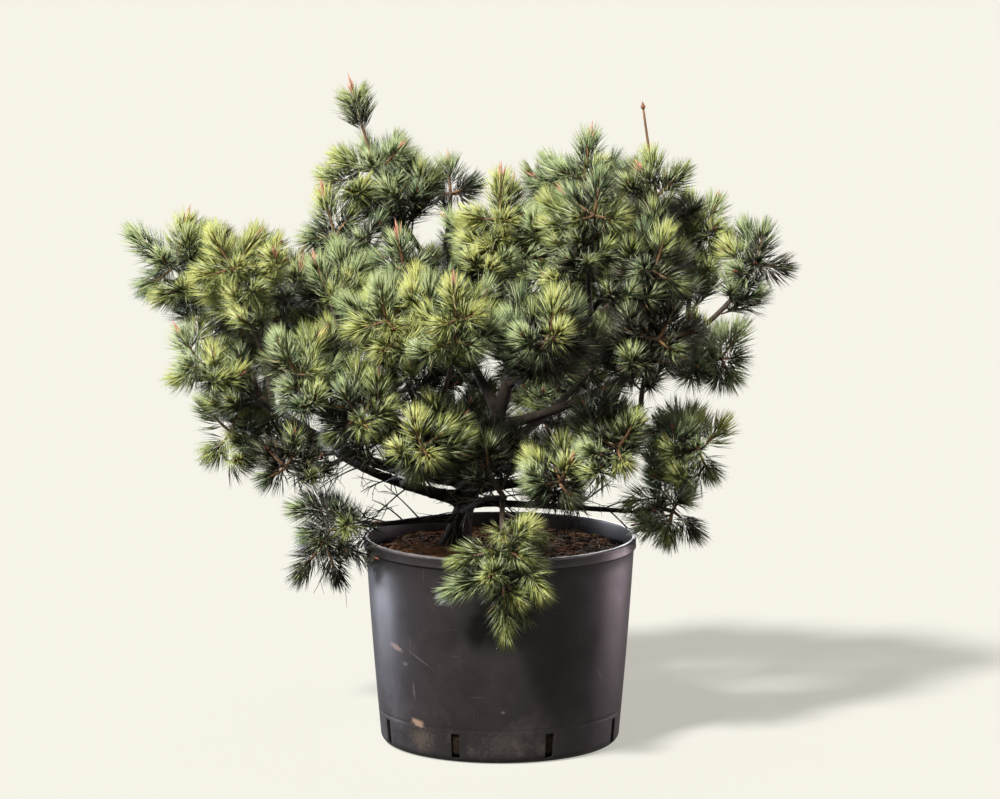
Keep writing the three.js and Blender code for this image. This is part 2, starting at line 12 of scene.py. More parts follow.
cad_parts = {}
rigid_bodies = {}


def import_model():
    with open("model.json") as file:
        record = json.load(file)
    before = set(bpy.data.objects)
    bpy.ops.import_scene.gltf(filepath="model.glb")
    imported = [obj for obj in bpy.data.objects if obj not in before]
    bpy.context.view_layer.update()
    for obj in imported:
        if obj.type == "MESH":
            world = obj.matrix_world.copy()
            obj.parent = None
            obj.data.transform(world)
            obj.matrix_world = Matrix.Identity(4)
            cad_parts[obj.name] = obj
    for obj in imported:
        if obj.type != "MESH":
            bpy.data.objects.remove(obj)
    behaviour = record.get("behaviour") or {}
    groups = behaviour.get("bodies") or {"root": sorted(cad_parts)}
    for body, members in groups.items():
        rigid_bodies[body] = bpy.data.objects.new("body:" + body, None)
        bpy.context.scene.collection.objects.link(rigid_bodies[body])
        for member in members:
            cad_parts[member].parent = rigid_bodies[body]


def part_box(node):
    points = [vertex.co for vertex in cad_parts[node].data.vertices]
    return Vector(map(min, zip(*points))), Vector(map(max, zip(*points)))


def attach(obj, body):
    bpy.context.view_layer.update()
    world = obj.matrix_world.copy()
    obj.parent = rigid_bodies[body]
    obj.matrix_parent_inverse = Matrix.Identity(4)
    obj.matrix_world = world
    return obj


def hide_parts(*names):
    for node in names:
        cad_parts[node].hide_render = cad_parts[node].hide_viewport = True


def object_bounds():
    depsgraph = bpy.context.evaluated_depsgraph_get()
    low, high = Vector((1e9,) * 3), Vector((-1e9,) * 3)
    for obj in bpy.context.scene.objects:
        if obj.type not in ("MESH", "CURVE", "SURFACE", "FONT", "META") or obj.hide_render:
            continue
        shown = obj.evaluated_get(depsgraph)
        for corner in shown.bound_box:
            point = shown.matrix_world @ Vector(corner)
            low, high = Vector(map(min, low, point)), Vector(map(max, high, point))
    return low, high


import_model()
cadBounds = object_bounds()
scene = bpy.context.scene
mm = 0.001
print("frame loaded")

# Camera: far off and a little above, so that it looks down on the pot's rim
view = {"target": (0, 0, 0.606), "distance": 7.5, "down": math.radians(8.6), "width": 1.752, "sensor": 36}


def placeCamera():
    camera = bpy.data.cameras.new("camera")
    camera.sensor_width = view["sensor"]
    camera.lens = view["sensor"] * view["distance"] / view["width"]
    eye = bpy.data.objects.new("camera", camera)
    scene.collection.objects.link(eye)
    back = Vector((0, -math.cos(view["down"]), math.sin(view["down"])))
    eye.location = Vector(view["target"]) + back * view["distance"]
    eye.rotation_euler = back.to_track_quat("Z", "Y").to_euler()
    scene.camera = eye


placeCamera()

# Where each bough leaves the trunk (a height), where it ends, and its radius at the trunk
boughs = {
    "left_drooping": dict(start=396, to=(-272, -40, 384), radius=6),
    "left_low": dict(start=428, to=(-290, 20, 508), radius=11),
    "left_high": dict(start=462, to=(-415, -110, 630), radius=11, lift=0.1),
    "left_front": dict(start=500, to=(-290, -200, 625), radius=9),
    "centre_front": dict(start=530, to=(-130, -200, 590), radius=8),
    "top_left": dict(start=585, to=(-130, 55, 850), radius=8, lift=0.45),
    "top_right": dict(start=640, to=(180, -30, 795), radius=8),
    "far_right": dict(start=560, to=(330, 20, 715), radius=9),
    "right_middle": dict(start=490, to=(245, -60, 605), radius=9),
    "right_low": dict(start=452, to=(210, -150, 525), radius=9),
    "right_lowest": dict(start=425, to=(235, -20, 410), radius=7, lift=0.4),
    "front_low": dict(start=404, to=(9, -212, 466), radius=7, lift=0.9),
    "back_left": dict(start=445, to=(-230, 210, 600), radius=10),
    "back_right": dict(start=510, to=(150, 230, 610), radius=10),
    "back_high": dict(start=610, to=(30, 180, 770), radius=8, lift=0.4),
    "back_low": dict(start=415, to=(-30, 230, 450), radius=8, lift=0.5),
}
limb = {"tipShare": 0.55, "steps": 4, "outwards": 0.55, "lift": 0.25}

# Leaders with a heading of their own. Some have their own length, share that carries needles, number and
# lean of those needles, from the share's foot to its end, and painted light on the leader's needles, which is
# painted shade where it is negative
outwards = dict(lead=(-0.8, 0, 0.5), leader=72)
tufted = dict(
    lead=(-0.34, 0, 1),
    leader=118,
    clad=(0.55, 0.98),
    fullness=1.9,
    widest=0.72,
    narrowest=1.0,
    candle=True,
    # painted shade that darkens the leader's needles
    leaderPaintedLight=-0.25,
)
bare = dict(lead=(-0.18, 0, 1), leader=130, clad=(0.1, 0.42))
upright = dict(lead=(0.25, -0.1, 1))
forwards = dict(lead=(0.2, -0.8, -0.3))
downwards = dict(lead=(0.05, -0.2, -1), hangs=True)

# Where each mass of foliage is centred, how far it reaches, how many shoots it has, and what carries it.
# Its painted light and painted shade make its needles lighter and yellower, or darker, for the light that
# falls there, and cool is the share of its sprays that take the cooler colours. open spaces its finer twigs,
# rim is how far inside its reach they end, and skew lets them reach further towards one side.
masses = {
    "far_left": dict(
        on="left_high", at=(-568, -40, 848), reach=124, shoots=6, cool=0.5, open=1.15, **outwards
    ),
    "left_top": dict(on="left_high", at=(-460, -165, 860), reach=114, shoots=5, paintedLight=0.3, cool=0.1),
    "left_side": dict(on="left_high", at=(-515, -80, 680), reach=112, shoots=5, paintedLight=0.18),
    "left_shaded": dict(on="back_left", at=(-385, 130, 780), reach=112, shoots=4, paintedLight=-0.22),
    "left_middle": dict(on="left_front", at=(-345, -270, 695), reach=116, shoots=6),
    "left_skirt": dict(on="left_low", at=(-475, 0, 550), reach=114, shoots=5, paintedLight=0.4, cool=0.6, open=1.1),
    "left_under": dict(on="left_low", at=(-375, -70, 500), reach=100, shoots=4, cool=0.6, open=1.15),
    "left_hanging": dict(
        on="left_drooping", at=(-308, -70, 360), reach=116, shoots=6, cool=0.5, open=1.5, hangs=True
    ),
    "top_left": dict(
        on="top_left", at=(-218, 60, 1005), reach=124, shoots=5, paintedLight=-0.1, cool=0.6,
        skew=(0.15, 0, -0.42), **tufted
    ),
    "upper_left": dict(
        on="top_left", at=(-288, 5, 900), reach=112, shoots=4, paintedLight=-0.2, cool=0.85, open=1.15
    ),
    "upper_middle": dict(
        on="top_left", at=(-88, 160, 955), reach=98, shoots=4, paintedLight=-0.35, cool=0.7, open=1.1, rim=62
    ),
    "left_crown": dict(on="left_front", at=(-292, -120, 800), reach=114, shoots=5, paintedLight=0.15),
    "middle_crown": dict(on="top_left", at=(-165, -110, 850), reach=104, shoots=5, cool=0.6),
    "front_left": dict(on="centre_front", at=(-190, -310, 790), reach=114, shoots=6, paintedLight=0.27, cool=0.2),
    "front_middle": dict(on="centre_front", at=(-72, -345, 795), reach=112, shoots=6, paintedLight=0.2),
    "centre_top": dict(on="trunk", at=(0, -140, 942), reach=114, shoots=6, paintedLight=0.15, cool=0.2),
    "front_left_low": dict(on="centre_front", at=(-242, -290, 622), reach=112, shoots=4, cool=0.5),
    "front_centre_low": dict(
        on="centre_front", at=(-130, -310, 572), reach=106, shoots=4, paintedLight=0.25, **forwards
    ),
    "centre_low": dict(on="front_low", at=(-22, -235, 530), reach=100, shoots=3, paintedLight=0.1),
    "front_hanging": dict(
        on="front_low", at=(5, -292, 345), reach=144, shoots=6, paintedLight=0.28, cool=0.15, rim=74,
        skew=(0.4, 0, 0.3), **downwards
    ),
    "top_right": dict(on="top_right", at=(147, 40, 993), reach=116, shoots=4, paintedLight=-0.15),
    "top_far_right": dict(on="top_right", at=(270, -40, 972), reach=116, shoots=5, paintedLight=-0.3, **bare),
    "right_shoulder": dict(on="far_right", at=(355, 70, 885), reach=112, shoots=4, paintedLight=0.18),
    "far_right": dict(
        on="far_right", at=(448, 0, 850), reach=104, shoots=4, paintedLight=-0.15, cool=0.5, open=1.15, **upright
    ),
    "right_top_front": dict(on="top_right", at=(160, -200, 955), reach=114, shoots=4, paintedLight=-0.1),
    "right_crown": dict(on="top_right", at=(262, -195, 860), reach=114, shoots=6, paintedLight=-0.15),
    "front_right": dict(on="trunk", at=(84, -320, 765), reach=118, shoots=7, paintedLight=-0.06),
    "right_middle": dict(on="right_middle", at=(272, -190, 740), reach=114, shoots=6, paintedLight=-0.15),
    "right_side": dict(
        on="far_right", at=(388, -20, 685), reach=108, shoots=5, paintedLight=0.35, cool=0.5, open=1.1
    ),
    "right_front_low": dict(on="right_low", at=(202, -236, 560), reach=114, shoots=4, paintedLight=0.18),
    "right_skirt": dict(
        on="right_middle", at=(348, -80, 530), reach=110, shoots=5, paintedLight=0.42, cool=0.6, open=1.1
    ),
    "front_right_low": dict(on="right_low", at=(102, -235, 500), reach=106, shoots=4, paintedLight=0.18),
    "right_hanging": dict(
        on="right_lowest", at=(305, -35, 412), reach=104, shoots=4, paintedLight=0.45, open=1.4, hangs=True
    ),
    "back_far_left": dict(on="back_left", at=(-395, 215, 668), reach=124, shoots=4, paintedLight=0.15),
    "back_left": dict(on="back_left", at=(-150, 320, 640), reach=128, shoots=4, paintedLight=0.15),
    "back_right": dict(on="back_right", at=(215, 250, 690), reach=128, shoots=4, paintedLight=0.15),
    "back_middle": dict(on="back_right", at=(95, 350, 560), reach=128, shoots=4, paintedLight=0.15),
    "back_top_right": dict(on="back_high", at=(110, 270, 790), reach=124, shoots=4, paintedLight=0.1),
    "back_top_left": dict(on="back_high", at=(-60, 300, 800), reach=122, shoots=4, paintedLight=0.05),
    "back_crown": dict(on="top_right", at=(262, 180, 850), reach=114, shoots=4, paintedLight=0),
    "back_skirt": dict(on="back_low", at=(-50, 340, 490), reach=128, shoots=5, paintedLight=0.15),
}
massNames = list(masses)
centres = np.array([masses[name]["at"] for name in massNames], float)
reaches = np.array([masses[name]["reach"] for name in massNames], float)

# The joined meshes that the masses' needles go into
regions = {
    "left": ["far_left", "left_top", "left_side", "left_shaded"],
    "low_left": ["left_skirt", "left_under", "left_hanging", "back_far_left"],
    "front_left": ["left_middle", "left_crown", "front_left", "front_left_low"],
    "top_left": ["middle_crown", "upper_left", "upper_middle", "top_left", "back_top_left"],
    "front": ["front_middle", "centre_top", "front_centre_low", "centre_low", "front_hanging", "front_right"],
    "top_right": ["top_right", "top_far_right", "right_top_front", "back_crown", "back_top_right"],
    "right": ["right_shoulder", "far_right", "right_crown", "right_middle", "right_side", "right_skirt"],
    "low_right": ["right_front_low", "front_right_low", "right_hanging"],
    "back": ["back_left", "back_middle", "back_right", "back_skirt"],
}

# Repeatable draws from 0 to 1, the same as the model's
modulus = 2147483647
multiplier = 48271
massSeed, shootSeed, turnSeed = 1000, 50, 900


def seeded(seed):
    state = (seed + 1) * multiplier % modulus

    def draw():
        nonlocal state
        state = state * multiplier % modulus
        return state / modulus

    return draw


def between(low, high, share):
    return low + (high - low) * share


# Curves are lists of control points, straight lines among them
def curvePoint(controls, t):
    points = [np.asarray(p, float) for p in controls]
    while len(points) > 1:
        points = [between(a, b, t) for a, b in zip(points, points[1:])]
    return points[0]


def unit(v):
    return v / np.maximum(np.linalg.norm(v, axis=-1, keepdims=True), 1e-12)


def curveTangent(controls, t):
    points = [np.asarray(p, float) for p in controls]
    return unit(curvePoint([b - a for a, b in zip(points, points[1:])], t))


def curveLength(controls, steps=200):
    points = np.array([curvePoint(controls, i / steps) for i in range(steps + 1)])
    return np.linalg.norm(np.diff(points, axis=0), axis=1).sum()


def turnedAbout(v, axis, angle):
    across = np.cross(axis, v)
    return v * math.cos(angle) + across * math.sin(angle) + axis * np.dot(axis, v) * (1 - math.cos(angle))


def crossFrame(controls, t, steep=0.8):
    along = curveTangent(controls, t)
    across = (0, 1, 0) if abs(curveTangent(controls, 0)[2]) > steep else (0, 0, 1)
    side = unit(np.cross(across, along))
    return curvePoint(controls, t), along, side, unit(np.cross(side, along))


# Trunk
trunk = {
    "curve": [(-79, 0, 320), (-75, 0, 480), (60, -10, 600), (4, -80, 790)],
    "footRadius": 26,
    "tipRadius": 7,
    "flare": 14,
    "flareHeight": 20,
    "buttresses": 5,
    "buttressDepth": 0.16,
    "steps": 12,
}
soilLevel = 342
gap = 0.3


def trunkShareAt(height):
    share, step = 0.0, 0.5
    while step > 1e-4:
        if curvePoint(trunk["curve"], share + step)[2] < height:
            share += step
        step /= 2
    return share


def trunkRadiusAt(t, angle=0.0):
    above = curvePoint(trunk["curve"], t)[2] - soilLevel
    flare = math.exp(-max(0, above) / trunk["flareHeight"])
    taper = between(trunk["footRadius"], trunk["tipRadius"], math.sqrt(t))
    lobes = 1 + trunk["buttressDepth"] * flare * math.cos(trunk["buttresses"] * angle)
    return (taper + trunk["flare"] * flare) * lobes


def boughCurve(name):
    bough = boughs[name]
    start = curvePoint(trunk["curve"], trunkShareAt(bough["start"]))
    end = np.array(bough["to"], float)
    bend = start + (end - start) * limb["outwards"]
    bend[2] = start[2] + bough.get("lift", limb["lift"]) * (end[2] - start[2])
    return [start, bend, end]


def boughRadiusAt(name, t):
    return boughs[name]["radius"] * (1 + (limb["tipShare"] - 1) * t)


# Masses: headings, stems and leaders
crown = {"foot": (-20, 0, 430), "middle": (-20, 0, 600), "climb": 0.6, "droop": 0.7}
stem = {"startRadius": 4.8, "endRadius": 3.8, "steps": 3, "upturn": 0.6, "stagger": 0.07}
whorl = {"depth": 7, "spacing": 44, "shoots": 3}
shoot = {
    "radius": 3,
    "cladRadius": 5.4,
    "clad": (0.24, 1),
    "inset": 62,
    "shortest": 0.7,
    "rise": 0.16,
    "steepest": 0.95,
    "swing": 0.8,
    "headings": 14,
    "lengthWorth": 0.1,
    "tipLength": 42,
}


def stemRadiusAt(t):
    return between(stem["startRadius"], stem["endRadius"], t)


def headingOf(name):
    mass = masses[name]
    if "lead" in mass:
        return unit(np.array(mass["lead"], float))
    heading = unit(np.subtract(mass["at"], crown["foot"]))
    heading[2] += -crown["droop"] if mass.get("hangs") else crown["climb"]
    return unit(heading)


def risen(name, tip, length):
    sign = -1 if masses[name].get("hangs") else 1
    return tip + np.array((0, 0, sign * shoot["rise"] * length))


def leaderOf(name):
    mass = masses[name]
    length = mass.get("leader", mass["reach"] - shoot["inset"])
    base = np.array(mass["at"], float)
    bend = base + headingOf(name) * length / 2
    tip = risen(name, bend + headingOf(name) * length / 2, length)
    return dict(curve=[base, bend, tip], length=length, clad=mass.get("clad", shoot["clad"]))


boughCurves = {name: boughCurve(name) for name in boughs}


def stemCurve(name, place):
    on = masses[name]["on"]
    start = curvePoint(trunk["curve"] if on == "trunk" else boughCurves[on], 1 - stem["stagger"] * place)
    end = np.array(masses[name]["at"], float)
    turned = end - headingOf(name) * 0.5 * np.linalg.norm(end - start)
    middle = (start + end) / 2
    return [start, middle + (turned - middle) * stem["upturn"], end]


stemCurves = {}
for massName in massNames:
    place = sum(masses[other]["on"] == masses[massName]["on"] for other in stemCurves)
    stemCurves[massName] = stemCurve(massName, place)

# Straight pieces of every limb, which shoots and needles keep clear of
pieces = []


def addPieces(owner, controls, radiusAt, count):
    for i in range(count):
        ends = i / count, (i + 1) / count
        radius = max(radiusAt(ends[0]), radiusAt(ends[1]))
        pieces.append((owner, curvePoint(controls, ends[0]), curvePoint(controls, ends[1]), radius))


addPieces("trunk", trunk["curve"], trunkRadiusAt, trunk["steps"])
for boughName, controls in boughCurves.items():
    addPieces("bough_" + boughName, controls, lambda t: boughRadiusAt(boughName, t), limb["steps"] * 2)
for massName, controls in stemCurves.items():
    addPieces(massName, controls, stemRadiusAt, stem["steps"] * 2)
for massName in massNames:
    addPieces(massName, leaderOf(massName)["curve"], lambda t: shoot["cladRadius"], 2)
pieceOwners, pieceStarts, pieceEnds, pieceRadii = (np.array(column) for column in zip(*pieces))


# the least distances between straight pieces a-b and c-d, as arrays
def distances(a, b, c, d):
    u, v, w = b - a, d - c, a - c
    uu, uv, vv = (u * u).sum(-1), (u * v).sum(-1), (v * v).sum(-1)
    uw, vw = (u * w).sum(-1), (v * w).sum(-1)
    across = uu * vv - uv * uv
    s = np.where(across > 1e-9, np.clip((uv * vw - vv * uw) / np.maximum(across, 1e-9), 0, 1), 0)
    t = np.clip((uv * s + vw) / vv, 0, 1)
    s = np.clip((uv * t - uw) / uu, 0, 1)
    return np.linalg.norm(a + u * s[..., None] - c - v * t[..., None], axis=-1)


# Pot
pot = {
    "rimBand": 20,
    "wall": 4,
    "rimRadius": 240,
    "topRadius": 236,
    "baseRadius": 211,
    "footRound": 16,
    "sides": 168,
    "bow": 1.2,
    "lineHeight": 60,
    "lineDepth": 0.25,
    "slots": 8,
    "slotWidth": 15,
    "slotBottom": 9,
    "slotTop": 52,
    "slotDepth": 60,
    "slotTurn": math.radians(1.2),
    "edge": 0.6,
    "edgeAngle": math.radians(50),
}
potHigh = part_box("pot")[1]
pot["height"] = potHigh.z / mm


def potRadiusAt(z):
    rimFoot = pot["height"] - pot["rimBand"]
    share = np.maximum(0, (z - pot["footRound"]) / (rimFoot - pot["footRound"]))
    wall = pot["baseRadius"] + (pot["topRadius"] - pot["baseRadius"]) * share
    return np.where(z > pot["height"], 0, np.where(z > rimFoot, pot["rimRadius"], wall))


def clearOfPot(a, b, radius, steps=5):
    clear = np.ones(np.shape(a)[:-1], bool)
    for i in range(steps + 1):
        p = a + (b - a) * i / steps
        clear &= np.hypot(p[..., 0], p[..., 1]) > potRadiusAt(p[..., 2] - radius) + radius + gap
        clear &= p[..., 2] > radius
    return clear


# how far points lie on a mass's own side of its neighbours
def roomBeside(name, points):
    index = massNames.index(name)
    apart = points[..., None, :] - centres
    powers = (apart * apart).sum(-1) - reaches**2
    spacing = np.linalg.norm(centres - centres[index], axis=1)
    spacing[index] = np.inf
    room = (powers - powers[..., index, None]) / (2 * spacing)
    room[..., index] = np.inf
    return room.min(-1)


# how far points lie inside a mass's reach
def roomWithin(name, points):
    index = massNames.index(name)
    far = max(reaches[index], masses[name].get("leader", 0) + shoot["tipLength"])
    return far - np.linalg.norm(points - centres[index], axis=-1)


def roomAt(name, points):
    points = np.asarray(points, float)
    return np.minimum(roomBeside(name, points), roomWithin(name, points))


# four-cornered rings along a stem, each taking its turn from the last
def faceRings(foot, controls, stations):
    rings = [foot]
    side = foot[0] - sum(foot) / 4
    for t in stations:
        along = curveTangent(controls, t)
        side = unit(side - along * np.dot(side, along))
        centre = curvePoint(controls, t)
        rings.append([centre + turnedAbout(side, along, k * math.pi / 2) * stemRadiusAt(t) for k in range(4)])
    return rings


# the faces of a stem's whorls, which its shoots grow from
def stemWhorls(name, order):
    controls = stemCurves[name]
    length = curveLength(controls)
    depth = whorl["depth"] / length
    count = math.ceil((masses[name]["shoots"] - 1) / whorl["shoots"])
    ends = [1 - whorl["spacing"] * i / length for i in range(count)]
    stations = [t / stem["steps"] * (ends[-1] - depth) for t in range(stem["steps"] + 1)]
    for i, end in enumerate(reversed(ends)):
        stations += [end] if i == 0 else [end - depth, end]
    turn = seeded(order + turnSeed)() * math.pi
    centre, along, side, _ = crossFrame(controls, 0)
    foot = [turnedAbout(side, along, turn + k * math.pi / 2) * stemRadiusAt(0) + centre for k in range(4)]
    rings = faceRings(foot, controls, stations[1:])
    whorls = []
    for end in ends:
        i = stations.index(end)
        faces = [(rings[i - 1][k], rings[i - 1][(k + 1) % 4], rings[i][k]) for k in range(4)]
        middles = [sum(rings[j][c] for j in (i - 1, i) for c in (k, (k + 1) % 4)) / 4 for k in range(4)]
        whorls.append((faces, middles, curveTangent(controls, end)))
    return whorls


# of a few headings out of a stem's face, the shoot that is left most room
def shootFrom(name, face, base, stemAlong, made, seed):
    mass = masses[name]
    out = unit(np.cross(face[1] - face[0], face[2] - face[0]))
    others = pieceOwners != name
    best = None
    for attempt in range(shoot["headings"]):
        draw = seeded(seed + attempt)
        steep = shoot["steepest"] * draw()
        swing = shoot["swing"] * (2 * draw() - 1)
        heading = turnedAbout(out, stemAlong, swing) * math.cos(steep) + stemAlong * math.sin(steep)
        length = (mass["reach"] - shoot["inset"]) * (1 if attempt % 2 == 0 else shoot["shortest"])
        bend = base + heading * length / 2
        tip = risen(name, bend + heading * length / 2, length)
        clad = shoot["cladRadius"]
        room = roomAt(name, np.array([tip, bend])).min()
        if room < clad + gap or not clearOfPot(bend, tip, clad):
            continue
        limbs = pieceStarts[others], pieceEnds[others]
        if (distances(bend, tip, *limbs) <= pieceRadii[others] + clad + gap).any():
            continue
        if (distances(base, bend, *limbs) <= pieceRadii[others] + shoot["radius"] + gap).any():
            continue
        cores = [pair for one in made for pair in zip(one["curve"], one["curve"][1:])]
        if (distances(bend, tip, *map(np.array, zip(*cores))) <= 2 * clad + gap).any():
            continue
        apart = min([mass["reach"]] + [np.linalg.norm(one["curve"][-1] - tip) / 2 for one in made])
        score = min(room, apart, mass["reach"] / 2) + length * shoot["lengthWorth"]
        if best is None or score > best["score"]:
            best = dict(curve=[base, bend, tip], length=length, clad=shoot["clad"], score=score)
    return best


# a mass's leader and shoots, as in the model
def shootsOf(name, order):
    whorls = stemWhorls(name, order)
    made = [leaderOf(name)]
    for k in range(masses[name]["shoots"] - 1):
        level = k // whorl["shoots"]
        faces, middles, along = whorls[level]
        side = (k + level) % 4
        seed = order * massSeed + k * shootSeed
        one = shootFrom(name, faces[side], middles[side], along, made, seed)
        if one:
            made.append(one)
    return made


# Finer twigs, by the same rule on a smaller scale
finer = {
    "onShoot": (0.15, 0.4, 0.65),
    "onStem": (0.96, 0.92, 0.86, 0.8, 0.73, 0.66, 0.58, 0.5, 0.42, 0.34, 0.26, 0.18),
    "onTwig": (0.35, 0.7),
    "length": (30, 84),
    "fork": (0.45, 1.35),
    "headings": 18,
    "onwards": 0.2,
    "lift": 1.15,
    "droop": 0.3,
    "room": 9,
    "rim": 38,
    "innerRim": 12,
    "innerFacing": -0.2,
    "rimFacing": -0.35,
    "sharedFacing": 0.3,
    "shared": 10,
    "apart": (24, 16),
    "lobe": 34,
    "lobeStarts": (0.4, 1.9, 3.1),
    "lobeDepth": 2.2,
    "hollow": 26,
    "clad": 42,
    "leastBare": 0.15,
    "seed": 7000,
}
# turns the rows of lobes away from the axes
lobeTurn = np.array(((0.80, 0.36, -0.48), (-0.60, 0.48, -0.64), (0, 0.80, 0.60)))


# how far in from its mass's rim the crown's edge is here, so that it runs in lobes and hollows
def hollowAt(tip):
    waves = np.sin(tip / finer["lobe"] @ lobeTurn + finer["lobeStarts"])
    return finer["hollow"] * (0.5 + 0.5 * waves.prod() * finer["lobeDepth"]).clip(0, 1)


# which side of its mass a finer twig may end on: 0 for the outside, 1 for the crown's inner side
def sideOf(name, tip):
    mass = masses[name]
    away = tip - mass["at"]
    far = np.linalg.norm(away)
    out = unit(np.subtract(mass["at"], crown["middle"])) @ away
    skewed = np.dot(mass.get("skew", (0, 0, 0)), away)
    depths = reaches - np.linalg.norm(centres - tip, axis=1)
    depths[massNames.index(name)] = -np.inf
    if far < mass["reach"] - mass.get("rim", finer["rim"]) - hollowAt(tip) + skewed:
        return 1 if out < finer["innerFacing"] * far else 0
    if far > mass["reach"] - finer["innerRim"] or "rim" in mass:
        return None
    isShared = out < finer["sharedFacing"] * far and depths.max() > finer["shared"]
    return 1 if out < finer["rimFacing"] * far or isShared else None


# a finer twig off a shoot or stem, towards the most room, or none where there is too little
def twigFrom(name, parent, share, taken, seed):
    base, along, side, other = crossFrame(parent, share)
    mass = masses[name]
    best = None
    for attempt in range(finer["headings"]):
        draw = seeded(seed + attempt)
        angle = draw() * 2 * math.pi
        fork = between(*finer["fork"], draw())
        length = between(*finer["length"], draw())
        out = side * math.cos(angle) + other * math.sin(angle)
        heading = along * math.cos(fork) + out * math.sin(fork)
        bend = base + heading * length / 2
        upwards = np.array((0, 0, -finer["droop"] if mass.get("hangs") else finer["lift"]))
        tip = bend + unit(heading + along * finer["onwards"] + upwards) * length / 2
        inner = sideOf(name, tip)
        if inner is None:
            continue
        room = roomBeside(name, tip)
        apart = np.linalg.norm(np.array(taken) - tip, axis=1).min() / 2
        near = pieceRadii + shoot["radius"] + gap
        hit = (distances(bend, tip, pieceStarts, pieceEnds) <= near).any()
        spaced = apart >= finer["apart"][inner] * mass.get("open", 1)
        if room < finer["room"] or not spaced or hit or not clearOfPot(bend, tip, shoot["radius"]):
            continue
        score = min(room, apart)
        if best is None or score > best["score"]:
            clad = max(finer["leastBare"], 1 - finer["clad"] / length), 1
            best = dict(curve=[base, bend, tip], length=length, clad=clad, score=score)
    return best


def finerTwigs(name, order, made):
    taken = [one["curve"][-1] for one in made]
    twigs = []
    parents = [(one["curve"], share, "side") for one in made for share in finer["onShoot"]]
    parents += [(stemCurves[name], share, "inner") for share in finer["onStem"]]
    for place, (parent, share, kind) in enumerate(parents):
        twig = twigFrom(name, parent, share, taken, finer["seed"] + order * massSeed + place * shootSeed)
        if twig:
            twig["kind"] = kind
            taken.append(twig["curve"][-1])
            twigs.append(twig)
            parents += [(twig["curve"], onTwig, kind) for onTwig in finer["onTwig"]]
    return twigs


crownShoots = {}
for order, massName in enumerate(massNames):
    made = shootsOf(massName, order)
    for one in made:
        one["kind"] = "shoot"
    crownShoots[massName] = made + finerTwigs(massName, order, made)
print("shoots grown:", sum(len(made) for made in crownShoots.values()))


# Joined meshes: a heap gathers arrays of corners and triangles for one of them
class Heap:
    def __init__(self):
        self.points, self.triangles, self.shades, self.count = [], [], [], 0

    def add(self, points, triangles, shades):
        self.points.append(points)
        self.triangles.append(np.asarray(triangles) + self.count)
        self.shades.append(np.broadcast_to(shades, len(triangles)))
        self.count += len(points)

    def build(self, name, materials, slot):
        points = np.concatenate(self.points) * mm
        triangles = np.concatenate(self.triangles).astype(np.int32)
        mesh = bpy.data.meshes.new(name)
        mesh.vertices.add(len(points))
        mesh.vertices.foreach_set("co", points.astype(np.float32).ravel())
        mesh.loops.add(triangles.size)
        mesh.loops.foreach_set("vertex_index", triangles.ravel())
        mesh.polygons.add(len(triangles))
        mesh.polygons.foreach_set("loop_start", np.arange(0, triangles.size, 3, dtype=np.int32))
        for material in materials:
            mesh.materials.append(material)
        mesh.polygons.foreach_set("material_index", np.concatenate(self.shades).astype(np.int32))
        mesh.update(calc_edges=True)
        mesh.shade_smooth()
        return placed(name, mesh)


def meshFrom(name, body):
    mesh = bpy.data.meshes.new(name)
    body.to_mesh(mesh)
    body.free()
    return mesh


def placed(name, mesh):
    piece = bpy.data.objects.new(name, mesh)
    scene.collection.objects.link(piece)
    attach(piece, "root")
    return piece


# a closed round shape from foot to tip: the row that each corner is in, its angle, and the triangles
def roundShape(sides, rings, isPoint=False):
    body = bmesh.new()
    if isPoint:
        bmesh.ops.create_cone(body, cap_ends=True, segments=sides, radius1=1, radius2=0, depth=2)
    else:
        bmesh.ops.create_uvsphere(body, u_segments=sides, v_segments=rings + 1, radius=1)
    bmesh.ops.triangulate(body, faces=body.faces)
    bmesh.ops.recalc_face_normals(body, faces=body.faces)
    body.verts.index_update()
    heights = np.array([vert.co.z for vert in body.verts]).round(4)
    angles = np.array([math.atan2(vert.co.y, vert.co.x) for vert in body.verts]) - math.pi / 2
    triangles = np.array([[vert.index for vert in face.verts] for face in body.faces])
    body.free()
    rows = np.unique(heights, return_inverse=True)[1]
    return {"rows": rows, "angles": angles, "triangles": triangles, "rings": rings}


# adds a shape many times over: where the middle of each row is, two directions across it, and its radius
def addRounds(heap, shape, middles, side, other, radii, shades):
    rows = shape["rows"]
    angles = shape["angles"][:, None, None]
    side, other = np.broadcast_to(side, middles.shape), np.broadcast_to(other, middles.shape)
    around = np.cos(angles) * side[rows] + np.sin(angles) * other[rows]
    points = middles[rows] + radii[rows][:, None, None] * around
    starts = len(rows) * np.arange(middles.shape[1])
    triangles = shape["triangles"][None] + starts[:, None, None]
    shades = np.repeat(shades, len(shape["triangles"]))
    heap.add(points.transpose(1, 0, 2).reshape(-1, 3), triangles.reshape(-1, 3), shades)


# a closed twig with a pointed end
def addTwig(heap, shape, controls, radiusAt, shade):
    steps = shape["rings"] - 1
    stations = [0, *(i / steps for i in range(steps + 1)), 1]
    frames = [crossFrame(controls, t) for t in stations]
    middles, along, side, other = (np.array(column)[:, None] for column in zip(*frames))
    middles[-1] += along[-1] * radiusAt(1)
    radii = np.array([0, *(radiusAt(t) for t in stations[1:-1]), 0])
    addRounds(heap, shape, middles, side, -other, radii, shade)


# two directions across another, neither of them towards the hint
def acrossOf(along, hint):
    side = unit(np.cross(along, hint))
    return side, np.cross(along, side)


# Materials
def addNode(tree, kind, inputs=None, **settings):
    node = tree.nodes.new("ShaderNode" + kind)
    for key, value in settings.items():
        setattr(node, key, value)
    for key, value in (inputs or {}).items():
        if isinstance(value, bpy.types.NodeSocket):
            tree.links.new(value, node.inputs[key])
        else:
            node.inputs[key].default_value = value
    return node


